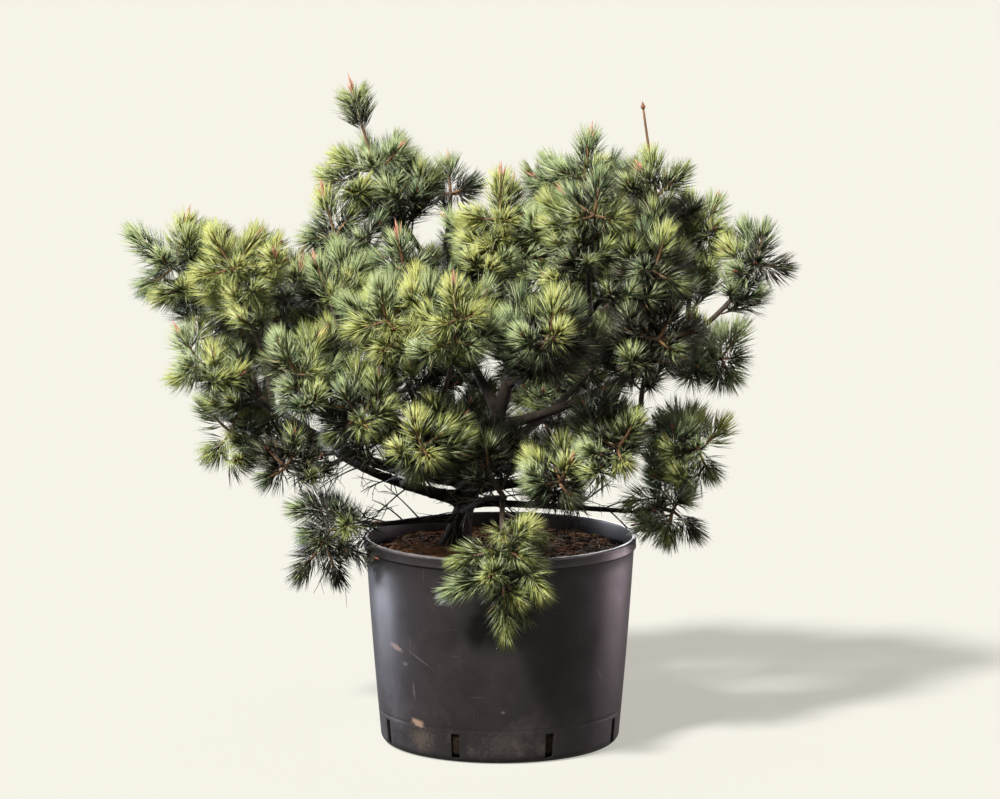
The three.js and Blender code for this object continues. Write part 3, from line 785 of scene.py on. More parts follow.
def newMaterial(name, inputs):
    material = bpy.data.materials.new(name)
    material.use_nodes = True
    tree = material.node_tree
    shader = tree.nodes["Principled BSDF"]
    for key, value in inputs.items():
        shader.inputs[key].default_value = value
    place = addNode(tree, "TexCoord").outputs["Object"]
    return material, tree, shader, place


def noiseOf(tree, place, scale, detail=4.0, rough=0.55, stretch=None):
    if stretch:
        place = addNode(tree, "Mapping", {"Vector": place, "Scale": stretch}).outputs["Vector"]
    node = addNode(tree, "TexNoise", {"Vector": place, "Scale": scale, "Detail": detail, "Roughness": rough})
    return node.outputs["Fac"]


# a colour ramp, or a mask where the stops are plain numbers
def rampOf(tree, value, stops):
    node = addNode(tree, "ValToRGB", {"Fac": value})
    ramp = node.color_ramp
    while len(ramp.elements) < len(stops):
        ramp.elements.new(0.5)
    for element, (at, colour) in zip(ramp.elements, stops):
        element.position = at
        element.color = (colour, colour, colour, 1) if isinstance(colour, (int, float)) else (*colour, 1)
    return node.outputs["Color"]


def mixOf(tree, share, first, second, blend="MIX"):
    node = addNode(tree, "Mix", data_type="RGBA", blend_type=blend)
    for socket, value in zip((node.inputs[0], node.inputs[6], node.inputs[7]), (share, first, second)):
        if isinstance(value, bpy.types.NodeSocket):
            tree.links.new(value, socket)
        else:
            socket.default_value = (*value, 1) if isinstance(value, tuple) else value
    return node.outputs[2]


def mathOf(tree, operation, *values):
    return addNode(tree, "Math", dict(enumerate(values)), operation=operation).outputs[0]


def rangeOf(tree, value, start, end, low=0.0, high=1.0):
    inputs = {"Value": value, "From Min": start, "From Max": end, "To Min": low, "To Max": high}
    return addNode(tree, "MapRange", inputs).outputs["Result"]


def bumpOf(tree, shader, height, strength, distance):
    node = addNode(tree, "Bump", {"Height": height, "Strength": strength, "Distance": distance})
    tree.links.new(node.outputs["Normal"], shader.inputs["Normal"])


# Needles
needle = {
    "length": 54,
    "shortest": 0.76,
    "taper": 0.2,
    "radius": 0.74,
    "rootOut": 1.2,
    "middle": 0.42,
    "curl": 0.16,
    "bundle": 3,
    "fan": 0.06,
    "leastLean": 0.3,
    "backLean": 1.02,
    "tipLean": 0.24,
    "candleLean": 0.46,
    "spread": 0.15,
    "turn": 2.39996,
    "turnSpread": 0.25,
    "counts": {"shoot": 88, "side": 80, "inner": 54},
    "scales": {"shoot": 1.0, "side": 0.97, "inner": 0.93},
    "countLength": 45,
    "leastCount": 0.55,
    "crowding": 0.8,
    "overlap": 45,
    "beyond": 5,
    "beyondLeader": 26,
    "limbReach": 120,
    "seed": 11,
}
# Plain colours: five steps of painted light and painted shade that run from lit to shaded, three cooler steps
# of painted light and shade that some sprays take instead, the odd dead needle, and the odd pale needle,
# which is partly glaucous colour and partly a painted highlight
needleColours = {
    "needles_sunlit": (0.362, 0.384, 0.112),
    "needles_half_lit": (0.213, 0.250, 0.068),
    "needles_green": (0.113, 0.142, 0.037),
    "needles_shaded": (0.060, 0.074, 0.025),
    "needles_deep_shade": (0.026, 0.026, 0.012),
    "needles_lit_blue": (0.228, 0.286, 0.125),
    "needles_blue": (0.100, 0.148, 0.064),
    "needles_dusk": (0.045, 0.068, 0.033),
    "needles_dead": (0.210, 0.120, 0.045),
    "needles_pale_and_highlight": (0.350, 0.400, 0.230),
}
warmOrder = np.array([0, 1, 2, 3, 4])
coolOrder = np.array([5, 5, 6, 7, 4])
deepShade, deadShade, paleAndHighlightShade = 4, 8, 9
# Painted light and painted shade on a spray's needles: what lightens or darkens them, from where it is, which
# way it faces to the sun and what shades it from the sun
dealing = {
    "heading": 0.3,
    "height": 0.3,
    "lowest": 400,
    "outer": 0.25,
    "outerReach": 560,
    "squash": (1, 0.8, 1),
    "chance": 0.4,
    "alongShoot": 0.42,
    "alongMiddle": 0.6,
    "spread": 0.06,
    "old": 0.25,
    "oldShare": 0.12,
    "dead": 0.012,
    # the share of pale needles, partly glaucous colour and partly a painted highlight
    "pale": 0.16,
    "cool": 0.35,
    "edges": (0.72, 0.57, 0.44, 0.28),
    "shaded": 0.058,
    "mostShaded": 5,
    "shadeFrom": 20,
    "shadeReach": 220,
    "shadeWidth": 45,
}
sunHeading = unit(np.array((-0.52, -0.70, 0.90)))


def needleMaterials():
    materials = []
    for name, colour in needleColours.items():
        inputs = {"Base Color": (*colour, 1), "Specular IOR Level": 0.5}
        material, tree, shader, place = newMaterial(name, inputs)
        sheen = noiseOf(tree, place, 60, 2)
        tree.links.new(rampOf(tree, sheen, [(0.3, 0.32), (0.7, 0.52)]), shader.inputs["Roughness"])
        materials.append(material)
    return materials


# counts how many other tufts stand between each tuft and the sun, close by, for the painted shade on its
# needles
def countShading():
    sprays = [one for name in massNames for one in crownShoots[name]]
    ends = np.array([one["curve"][-1] for one in sprays])
    ahead = ends @ sunHeading
    for one, end, level in zip(sprays, ends, ahead):
        apart = ends - end
        beside = np.linalg.norm(apart - np.outer(apart @ sunHeading, sunHeading), axis=1)
        isAhead = (ahead > level + dealing["shadeFrom"]) & (ahead < level + dealing["shadeReach"])
        shading = (isAhead & (beside < dealing["shadeWidth"])).sum()
        one["shaded"] = min(shading, dealing["mostShaded"])


# Candles stand on the upright sprays that the sun reaches
candle = {"share": {"shoot": 0.55, "side": 0.12, "inner": 0}, "upright": 0.45, "mostShaded": 1, "seed": 77}


def placeCandles():
    rng = np.random.default_rng(candle["seed"])
    for name, sprays in crownShoots.items():
        for one in sprays:
            isUpright = curveTangent(one["curve"], 1)[2] > candle["upright"]
            isLit = isUpright and one["shaded"] <= candle["mostShaded"]
            one["candle"] = bool(isLit and rng.random() < candle["share"][one["kind"]])
        if "leader" in masses[name]:
            sprays[0]["candle"] = masses[name].get("candle", False)


# how much painted light a spray's needles take, from 0 for painted deep shade to 1 for painted sunlight, by
# where it is, which way it faces to the sun and how many tufts shade it
def shadeOf(name, one, rng):
    _, bend, tip = one["curve"]
    low, high = cadBounds[0].z / mm + dealing["lowest"], cadBounds[1].z / mm
    facing = unit(tip - bend) @ sunHeading
    height = np.clip((tip[2] - low) / (high - low), 0, 1)
    away = (tip - crown["foot"]) / dealing["squash"]
    outer = np.clip(np.linalg.norm(away) / dealing["outerReach"], 0, 1)
    shade = dealing["heading"] * (facing + 1) / 2 + dealing["height"] * height + dealing["outer"] * outer
    # the mass's own painted light and painted shade, and for its leader a further painted shade, lighten or
    # darken the spray
    shade += dealing["chance"] * (rng.random() - 0.5) + masses[name].get("paintedLight", 0)
    if one is crownShoots[name][0]:
        shade += masses[name].get("leaderPaintedLight", 0)
    return shade - dealing["shaded"] * one["shaded"]


# the number of each needle's colour, where share is how far along its shoot it is: darker towards the shoot's
# foot, partly painted shade and partly older needles, and the odd older needle darker in its own colour
def shadesAlong(name, one, share, rng):
    lights = shadeOf(name, one, rng) + dealing["alongShoot"] * (share - dealing["alongMiddle"])
    lights = lights + rng.normal(0, dealing["spread"], len(share))
    lights = lights - dealing["old"] * (rng.random(len(share)) < dealing["oldShare"])
    order = coolOrder if rng.random() < masses[name].get("cool", dealing["cool"]) else warmOrder
    return order[sum((lights < edge).astype(int) for edge in dealing["edges"])]


# the roots, middles, tips and colours of the needles round a shoot
def needlesOn(name, one, rng):
    kind = one["kind"]
    own = masses[name] if one is crownShoots[name][0] else {}
    clad = (one["clad"][1] - one["clad"][0]) * one["length"]
    fullness = max(needle["leastCount"], clad / needle["countLength"]) * own.get("fullness", 1)
    count = int(needle["counts"][kind] * fullness)
    share = (np.arange(count) + rng.random(count)) / count
    share = share ** needle["crowding"]
    base, bend, tip = one["curve"]
    t = between(*one["clad"], share)[:, None]
    centre = base * (1 - t) ** 2 + bend * 2 * t * (1 - t) + tip * t**2
    along = unit((bend - base) * (1 - t) + (tip - bend) * t)
    side, other = acrossOf(along, (0.31, 0.17, -0.94))
    angle = np.arange(count) * needle["turn"] + rng.normal(0, needle["turnSpread"], count)
    widest = own.get("widest", needle["backLean"])
    narrowest = own.get("narrowest", needle["candleLean"] if one["candle"] else needle["tipLean"])
    lean = between(widest, narrowest, share) + rng.normal(0, needle["spread"], count)
    shades = shadesAlong(name, one, share, rng)
    # each root carries a bundle that fans out a little
    each = np.repeat(np.arange(count), needle["bundle"])
    centre, along, side, other = centre[each], along[each], side[each], other[each]
    angle, lean, share, shades = angle[each], lean[each], share[each], shades[each]
    count = len(each)
    fan = rng.normal(0, needle["fan"], (2, count))
    angle = angle + fan[0] / np.sin(np.maximum(lean, needle["leastLean"]))
    lean = lean + fan[1]
    out = side * np.cos(angle)[:, None] + other * np.sin(angle)[:, None]
    length = needle["length"] * needle["scales"][kind] * rng.uniform(needle["shortest"], 1, count)
    length = length * (1 - needle["taper"] * share**3)
    heads = []
    for turn in (needle["curl"] / 2, -needle["curl"] / 2):
        heads.append(along * np.cos(lean + turn)[:, None] + out * np.sin(lean + turn)[:, None])
    roots = centre + out * needle["rootOut"]
    middles = roots + heads[0] * (length * needle["middle"])[:, None]
    tips = middles + heads[1] * (length * (1 - needle["middle"]))[:, None]
    shades = np.where(rng.random(count) < dealing["dead"], deadShade, shades)
    # the odd pale needle, partly glaucous colour and partly a painted highlight, kept out of the painted deep
    # shade
    shades = np.where((rng.random(count) < dealing["pale"]) & (shades != deepShade), paleAndHighlightShade, shades)
    return roots, middles, tips, shades


# needles that stay in their mass's reach and clear of limbs and the pot
def keptNeedles(name, roots, tips):
    beyond = needle["beyondLeader"] if "leader" in masses[name] else needle["beyond"]
    keep = (roomBeside(name, tips) > -needle["overlap"]) & (roomWithin(name, tips) > -beyond)
    keep &= clearOfPot(roots, tips, needle["radius"])
    others = (pieceOwners != name) & (np.char.find(pieceOwners, "bough") == 0) | (pieceOwners == "trunk")
    fromCentre = np.linalg.norm((pieceStarts + pieceEnds) / 2 - np.array(masses[name]["at"], float), axis=1)
    for i in np.flatnonzero(others & (fromCentre < masses[name]["reach"] + needle["limbReach"])):
        apart = distances(roots, tips, pieceStarts[i], pieceEnds[i])
        keep &= apart > pieceRadii[i] + needle["radius"]
    return keep


spindle = roundShape(3, 1)
longPoint = roundShape(3, 1, isPoint=True)


# needles as closed slim spindles that are thickest at the middle, or as plain long points
def addNeedles(heap, roots, middles, tips, radius, shades, isPlain=False):
    side, other = acrossOf(unit(tips - roots), (0.23, 0.61, 0.76))
    if isPlain:
        addRounds(heap, longPoint, np.stack((roots, tips)), side, other, radius * np.array((1, 0)), shades)
    else:
        rows = np.stack((roots, middles, tips))
        addRounds(heap, spindle, rows, side, other, radius * np.array((0, 1, 0)), shades)


countShading()
placeCandles()
needleFinishes = needleMaterials()
for region, names in regions.items():
    heap = Heap()
    for massName in names:
        rng = np.random.default_rng(massNames.index(massName) + needle["seed"])
        for one in crownShoots[massName]:
            roots, middles, tips, shades = needlesOn(massName, one, rng)
            keep = keptNeedles(massName, roots, tips)
            kept = roots[keep], middles[keep], tips[keep], needle["radius"], shades[keep]
            if keep.any():
                addNeedles(heap, *kept, one["kind"] == "inner")
    piece = heap.build("needles_" + region, needleFinishes, "foliage")
    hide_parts(*["foliage_" + name for name in names])
    print("needles", region, len(piece.data.polygons))

# Twigs, with their radius at the foot and the tip, and buds
twig = {"shoot": (2.9, 1.9), "finer": (1.9, 1.3), "seed": 211}
bud = {
    "length": 13,
    "radius": 2.9,
    "profile": ((0, 0), (0.2, 0.9), (0.62, 0.8), (1, 0)),
    "finerScale": 0.8,
    "around": {"shoot": 4, "finer": 2},
    "sideLength": 0.6,
    "sideRadius": 0.75,
    "lean": (0.35, 0.6),
    "candle": 46,
    "candleShortest": 0.7,
    "candleSides": (0.6, 0.9),
    "candleLean": (0.1, 0.26),
}


def twigMaterial(name, dark, light, scale):
    material, tree, shader, place = newMaterial(name, {"Roughness": 0.75})
    colour = rampOf(tree, noiseOf(tree, place, scale, 5, 0.65), [(0.3, dark), (0.7, light)])
    tree.links.new(colour, shader.inputs["Base Color"])
    bumpOf(tree, shader, noiseOf(tree, place, scale * 3, 3), 0.5, 0.0006)
    return material


twigFinishes = [
    twigMaterial("twig_grey_brown", (0.022, 0.015, 0.011), (0.072, 0.048, 0.032), 180),
    twigMaterial("twig_orange_brown", (0.085, 0.043, 0.020), (0.23, 0.125, 0.055), 200),
]
budFinishes = [
    twigMaterial("bud_brown", (0.12, 0.045, 0.022), (0.30, 0.13, 0.07), 400),
    twigMaterial("bud_pink", (0.27, 0.115, 0.075), (0.48, 0.27, 0.18), 300),
]
stemShape = roundShape(8, 11)
twigShape = roundShape(6, 6)
budShape = roundShape(5, 2)


# a closed pointed bud, fattest below its middle
def addBud(heap, foot, heading, length, radius, shade):
    side, other = acrossOf(heading, (0.3, 0.5, 0.81))
    heights, widths = np.array(bud["profile"]).T
    middles = foot + heading * length * heights[:, None]
    addRounds(heap, budShape, middles[:, None], side, other, radius * widths, shade)


# the buds or candles at a shoot's end: one straight on and others round it
def addBuds(heap, one, size, rng):
    end = one["curve"][-1]
    along = curveTangent(one["curve"], 1)
    isCandle = one["candle"]
    length = bud["candle"] * rng.uniform(bud["candleShortest"], 1) if isCandle else bud["length"]
    radius = bud["radius"] * (bud["finerScale"] if size == "finer" else 1)
    addBud(heap, end - along, along, length, radius, int(isCandle))
    side, _ = acrossOf(along, (0.4, -0.2, 0.9))
    around = bud["around"][size]
    for k in range(around):
        out = turnedAbout(side, along, k * 2 * math.pi / around + rng.random())
        heading = unit(along + out * rng.uniform(*bud["candleLean" if isCandle else "lean"]))
        share = rng.uniform(*bud["candleSides"]) if isCandle else bud["sideLength"]
        foot = end - along * 2 + out
        addBud(heap, foot, heading, length * share, radius * bud["sideRadius"], int(isCandle))


twigHeap, budHeap = Heap(), Heap()
for order, massName in enumerate(massNames):
    rng = np.random.default_rng(order + twig["seed"])
    addTwig(twigHeap, stemShape, stemCurves[massName], stemRadiusAt, 0)
    for one in crownShoots[massName]:
        size = "shoot" if one["kind"] == "shoot" else "finer"
        addTwig(twigHeap, twigShape, one["curve"], lambda t: between(*twig[size], t), int(size == "shoot"))
        addBuds(budHeap, one, size, rng)
twigs = twigHeap.build("twigs", twigFinishes, "bark")
buds = budHeap.build("buds", budFinishes, "bark")
print("twigs", len(twigs.data.polygons), "buds", len(buds.data.polygons))

# Fine dry twigs on the lower boughs
dryTwig = {
    "perBough": 10,
    "from": 0.3,
    "over": 0.65,
    "onwards": 0.7,
    "length": (70, 135),
    "radius": 1.7,
    "taper": 0.6,
    "droop": 0.25,
    "bend": 0.22,
    "levels": 2,
    "forks": 3,
    "forkAt": (0.25, 0.9),
    "forkAway": 0.8,
    "forkLength": (0.35, 0.6),
    "forkRadius": 0.6,
    "seed": 90,
}
dryBoughs = ["left_drooping", "left_low", "left_front", "centre_front"]
dryBoughs += ["right_low", "right_lowest", "front_low", "back_low"]
dryShape = roundShape(5, 5)


def drySpray(heap, start, heading, length, radius, rng, levels):
    droop = np.array((0, 0, -dryTwig["droop"] * length))
    middle = start + heading * length / 2
    onwards = unit(heading + rng.normal(0, dryTwig["bend"], 3))
    end = middle + onwards * length / 2 + droop * rng.random()
    if not clearOfPot(start, end, radius).all():
        return
    curve = [start, middle, end]
    addTwig(heap, dryShape, curve, lambda t: radius * (1 - dryTwig["taper"] * t), 0)
    if levels == 0:
        return
    for _ in range(dryTwig["forks"]):
        share = rng.uniform(*dryTwig["forkAt"])
        away = unit(curveTangent(curve, share) + unit(rng.normal(0, 1, 3)) * dryTwig["forkAway"])
        forkLength = length * rng.uniform(*dryTwig["forkLength"])
        forkRadius = radius * dryTwig["forkRadius"]
        drySpray(heap, curvePoint(curve, share), away, forkLength, forkRadius, rng, levels - 1)


dryHeap = Heap()
for order, boughName in enumerate(dryBoughs):
    rng = np.random.default_rng(dryTwig["seed"] + order)
    for k in range(dryTwig["perBough"]):
        share = dryTwig["from"] + dryTwig["over"] * (k + rng.random()) / dryTwig["perBough"]
        centre, along, side, other = crossFrame(boughCurves[boughName], share)
        angle = rng.random() * 2 * math.pi
        heading = unit(side * math.cos(angle) + other * math.sin(angle) + along * dryTwig["onwards"])
        length = rng.uniform(*dryTwig["length"])
        drySpray(dryHeap, centre, heading, length, dryTwig["radius"], rng, dryTwig["levels"])
dryFinishes = [twigMaterial("twig_dry_dark", (0.012, 0.009, 0.007), (0.045, 0.032, 0.023), 160)]
dryTwigs = dryHeap.build("dry_twigs", dryFinishes, "bark")
print("dry twigs", len(dryTwigs.data.polygons))

# Bark
bark = {
    "plate": 7.5,
    "stretch": 0.42,
    "crack": 2.6,
    "ridge": 0.75,
    "depth": 1.7,
    "fullRadius": 20,
    "grain": 0.35,
    "grainScale": 2.3,
    "tipRound": 0.03,
    "tipLeast": 0.08,
    "scarSpacing": 42,
    "scarAt": 20,
    "scarWidth": 12,
    "scar": 0.09,
    "collar": 0.5,
    "collarFrom": 20,
    "collarReach": 16,
    "trunkSides": 40,
    "trunkSteps": 130,
    "boughSides": 18,
    "boughStep": 4.5,
    "underSoil": 8,
    "colours": ((0.006, 0.004, 0.003), (0.014, 0.010, 0.007), (0.036, 0.026, 0.019)),
}


# plates with cracks between them, longer than they are wide, shallower on thin limbs
def barkRelief(point, radius):
    place = Vector((point[0], point[1], point[2] * bark["stretch"])) / bark["plate"]
    near, _ = noise.voronoi(place)
    crack = min(1.0, (near[1] - near[0]) * bark["crack"])
    grain = noise.fractal(place * bark["grainScale"], 0.8, 2.0, 4)
    depth = bark["depth"] * min(1.0, radius / bark["fullRadius"])
    return depth * (crack - bark["ridge"]) + bark["grain"] * grain


def barkMesh(name, controls, span, sides, steps, radiusAt):
    body = bmesh.new()
    bmesh.ops.create_cone(body, cap_ends=True, segments=sides, radius1=1, radius2=1, depth=1)
    upright = [edge for edge in body.edges if abs(edge.verts[0].co.z - edge.verts[1].co.z) > 0.5]
    bmesh.ops.subdivide_edges(body, edges=upright, cuts=steps - 1, use_grid_fill=True)
    for vert in body.verts:
        share = vert.co.z + 0.5
        t = between(*span, share)
        angle = math.atan2(vert.co.y, vert.co.x)
        centre, _, side, other = crossFrame(controls, t)
        out = side * math.cos(angle) + other * math.sin(angle)
        radius = radiusAt(t, angle)
        past = max(0, (share - 1 + bark["tipRound"]) / bark["tipRound"])
        point = centre + out * radius * math.sqrt(max(bark["tipLeast"], 1 - past**2))
        vert.co = Vector(point + out * barkRelief(point, radius)) * mm
    bmesh.ops.recalc_face_normals(body, faces=body.faces)
    mesh = meshFrom(name, body)
    mesh.shade_smooth()
    return mesh


def barkMaterial():
    material, tree, shader, place = newMaterial("bark_rough", {"Roughness": 0.9, "Specular IOR Level": 0.25})
    patches = noiseOf(tree, place, 45, 6, 0.6, (1, 1, 0.5))
    colour = rampOf(tree, patches, list(zip((0.25, 0.5, 0.8), bark["colours"])))
    flakes = addNode(tree, "TexVoronoi", {"Vector": place, "Scale": 190.0}).outputs["Distance"]
    cracks = rampOf(tree, flakes, [(0.05, 0.35), (0.5, 1.0)])
    tree.links.new(mixOf(tree, 0.7, colour, cracks, "MULTIPLY"), shader.inputs["Base Color"])
    bumpOf(tree, shader, noiseOf(tree, place, 420, 5, 0.7, (1, 1, 0.4)), 0.7, 0.0012)
    return material


# a bough's radius: a collar where it leaves the trunk, and rings of scars along it
def collared(name, length):
    def radiusAt(t, angle=0.0):
        along = t * length
        swell = 1 + bark["collar"] * math.exp(-max(0, along - bark["collarFrom"]) / bark["collarReach"])
        fromScar = along % bark["scarSpacing"] - bark["scarAt"]
        scars = 1 + bark["scar"] * math.exp(-(fromScar**2) / bark["scarWidth"])
        return boughRadiusAt(name, t) * swell * scars

    return radiusAt


barkFinish = barkMaterial()
trunkSpan = (trunkShareAt(soilLevel - bark["underSoil"]), 1)
trunkMesh = barkMesh(
    "bark_trunk", trunk["curve"], trunkSpan, bark["trunkSides"], bark["trunkSteps"], trunkRadiusAt
)
trunkPiece = placed("bark_trunk", trunkMesh)
trunkPiece.data.materials.append(barkFinish)
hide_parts("trunk")
for boughName, curve in boughCurves.items():
    length = curveLength(curve)
    name = "bark_" + boughName
    steps = int(length / bark["boughStep"])
    mesh = barkMesh(name, curve, (0, 1), bark["boughSides"], steps, collared(boughName, length))
    piece = placed(name, mesh)
    piece.data.materials.append(barkFinish)
    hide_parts("bough_" + boughName)
print("bark done")


# Pot shell
def arcPoints(centre, radius, fromAngle, toAngle, steps):
    angles = [between(fromAngle, toAngle, i / steps) for i in range(steps + 1)]
    return [(centre[0] + radius * math.cos(a), centre[1] + radius * math.sin(a)) for a in angles]


def potProfile():
    flat = pot["baseRadius"] - pot["footRound"]
    rimFoot = pot["height"] - pot["rimBand"]
    top, rim, wall = pot["height"], pot["rimRadius"], pot["wall"]
    quarter = math.pi / 2
    points = [(0, 0)] + arcPoints((flat, pot["footRound"]), pot["footRound"], -quarter, 0, 8)
    line = pot["lineHeight"]
    low, high = pot["footRound"], rimFoot - 2
    besideLine = [line + step for step in (-6, -1.5, 0, 1.5, 6)]
    for z in (40, *besideLine, *range(80, 321, 40), high):
        bowed = pot["bow"] * math.sin(math.pi * (z - low) / (high - low))
        points.append((float(potRadiusAt(z)) + bowed - (pot["lineDepth"] if z == line else 0), z))
    points += [(pot["topRadius"] + 0.4, rimFoot - 0.4), (rim - 1.4, rimFoot + 0.2)]
    points += arcPoints((rim - 1.6, rimFoot + 2.2), 1.6, -0.6, 0.3, 3)
    points += [(rim - 0.6, rimFoot + 9), (rim - 0.2, top - 5)]
    points += arcPoints((rim - 3, top - 3), 3, 0.0, quarter, 5)
    points += arcPoints((pot["topRadius"] - wall + 2, top - 2), 2, quarter, 2 * quarter, 4)
    points += [(pot["topRadius"] - wall, rimFoot), (pot["baseRadius"] - wall, pot["footRound"])]
    points += arcPoints((flat, pot["footRound"]), pot["footRound"] - wall, 0, -quarter, 6)
    return points + [(0, wall)]


# a profile of radius and height turned round the Z axis, closed on it
def spun(points, sides):
    body = bmesh.new()
    verts = [body.verts.new((r * mm, 0, z * mm)) for r, z in points]
    edges = [body.edges.new(pair) for pair in zip(verts, verts[1:])]
    turning = dict(axis=(0, 0, 1), cent=(0, 0, 0), angle=2 * math.pi, steps=sides, use_merge=True)
    bmesh.ops.spin(body, geom=verts + edges, **turning)
    bmesh.ops.remove_doubles(body, verts=body.verts, dist=1e-6)
    bmesh.ops.recalc_face_normals(body, faces=body.faces)
    return body


def slotCutter():
    body = bmesh.new()
    tall = pot["slotTop"] - pot["slotBottom"]
    size = Vector((pot["slotDepth"], pot["slotWidth"], tall)) * mm
    centre = Vector((pot["baseRadius"], 0, pot["slotBottom"] + tall / 2)) * mm
    for i in range(pot["slots"]):
        angle = (i + 0.5) * 2 * math.pi / pot["slots"] + pot["slotTurn"] - math.pi / 2
        made = bmesh.ops.create_cube(body, size=1)["verts"]
        bmesh.ops.scale(body, verts=made, vec=size)
        bmesh.ops.translate(body, verts=made, vec=centre)
        bmesh.ops.rotate(body, verts=made, cent=(0, 0, 0), matrix=Matrix.Rotation(angle, 3, "Z"))
    cutter = bpy.data.objects.new("slot_cutter", meshFrom("slot_cutter", body))
    scene.collection.objects.link(cutter)
    return cutter


# puts what the modifiers make into the mesh
def applied(piece):
    bpy.context.view_layer.update()
    made = bpy.data.meshes.new_from_object(piece.evaluated_get(bpy.context.evaluated_depsgraph_get()))
    piece.modifiers.clear()
    piece.data = made


# The pot's colours, then long thin scuffs and scratches, each kind on a slant of its own
potLook = {
    "dark": (0.0125, 0.0098, 0.0114),
    "light": (0.0210, 0.0168, 0.0190),
    "dust": (0.16, 0.125, 0.095),
    "dustHeight": 0.1,
    "dustShares": (0.7, 0.12),
    # the rim's top edge: a paler colour, partly real wear and partly a painted highlight, in a band this far
    # below the top
    "wearAndHighlight": (0.17, 0.155, 0.16),
    "wearAndHighlightDepths": (0.005, 0.001),
}
potStreaks = [
    dict(turn=(0.3, 0.75, 0.2), scale=(3, 60, 240), edges=(0.69, 0.75), show=0.2, colour=(0.12, 0.11, 0.115)),
    dict(turn=(0.2, -0.35, 1.1), scale=(150, 90, 3), edges=(0.7, 0.76), show=0.16, colour=(0.11, 0.1, 0.105)),
]
# Marks on the pot: dried mud and scratches, as ellipsoids with ragged edges
potMarks = [
    dict(at=(-141, -155, 63), size=(15, 8), turn=-0.3, colour=(0.27, 0.185, 0.135), ragged=0.6, show=0.9),
    dict(at=(-132, -158, 36), size=(30, 24), turn=0.1, colour=(0.075, 0.058, 0.043), ragged=1.3, show=0.5),
    dict(at=(-181, -137, 192), size=(15, 6), turn=-0.4, colour=(0.20, 0.145, 0.125), ragged=0.8, show=0.7),
    dict(at=(-137, -172, 178), size=(38, 1.3), turn=-0.56, colour=(0.10, 0.09, 0.088), ragged=0.5, show=0.6),
    dict(at=(-164, -148, 166), size=(6, 4), turn=0, colour=(0.11, 0.10, 0.095), ragged=1.3, show=0.6),
    dict(at=(-149, -160, 120), size=(1.6, 19), turn=0.1, colour=(0.11, 0.10, 0.10), ragged=0.6, show=0.5),
    dict(at=(5, -212, 94), size=(4, 3), turn=0, colour=(0.12, 0.11, 0.105), ragged=1.0, show=0.7),
    dict(at=(4, -212, 40), size=(30, 21), turn=0.2, colour=(0.066, 0.058, 0.05), ragged=1.4, show=0.3),
    dict(at=(170, -125, 150), size=(3, 22), turn=0.5, colour=(0.09, 0.08, 0.082), ragged=0.7, show=0.5),
    dict(at=(120, 178, 70), size=(26, 15), turn=-0.4, colour=(0.12, 0.09, 0.07), ragged=1.1, show=0.6),
    dict(at=(-80, 200, 150), size=(34, 1.5), turn=0.5, colour=(0.10, 0.09, 0.09), ragged=0.6, show=0.6),
]
potMark = {"depth": 30, "ragged": 3.6, "edges": (0.45, 1.0)}


def markMask(tree, place, spot):
    centre = tuple(value * mm for value in spot["at"])
    moved = addNode(tree, "VectorMath", {0: place, 1: centre}, operation="SUBTRACT").outputs[0]
    turned = addNode(tree, "VectorRotate", {"Vector": moved, "Angle": spot["turn"]}, rotation_type="Y_AXIS")
    width, height = spot["size"]
    size = tuple(1 / (value * mm) for value in (width, potMark["depth"], height))
    scaled = addNode(tree, "VectorMath", {0: turned.outputs[0], 1: size}, operation="MULTIPLY").outputs[0]
    far = addNode(tree, "VectorMath", {0: scaled}, operation="LENGTH").outputs["Value"]
    ragged = mathOf(tree, "SUBTRACT", noiseOf(tree, place, 210, 8, 0.8), 0.5)
    raggedFar = mathOf(tree, "MULTIPLY_ADD", ragged, potMark["ragged"] * spot["ragged"], far)
    return rampOf(tree, raggedFar, list(zip(potMark["edges"], (spot["show"], 0.0))))


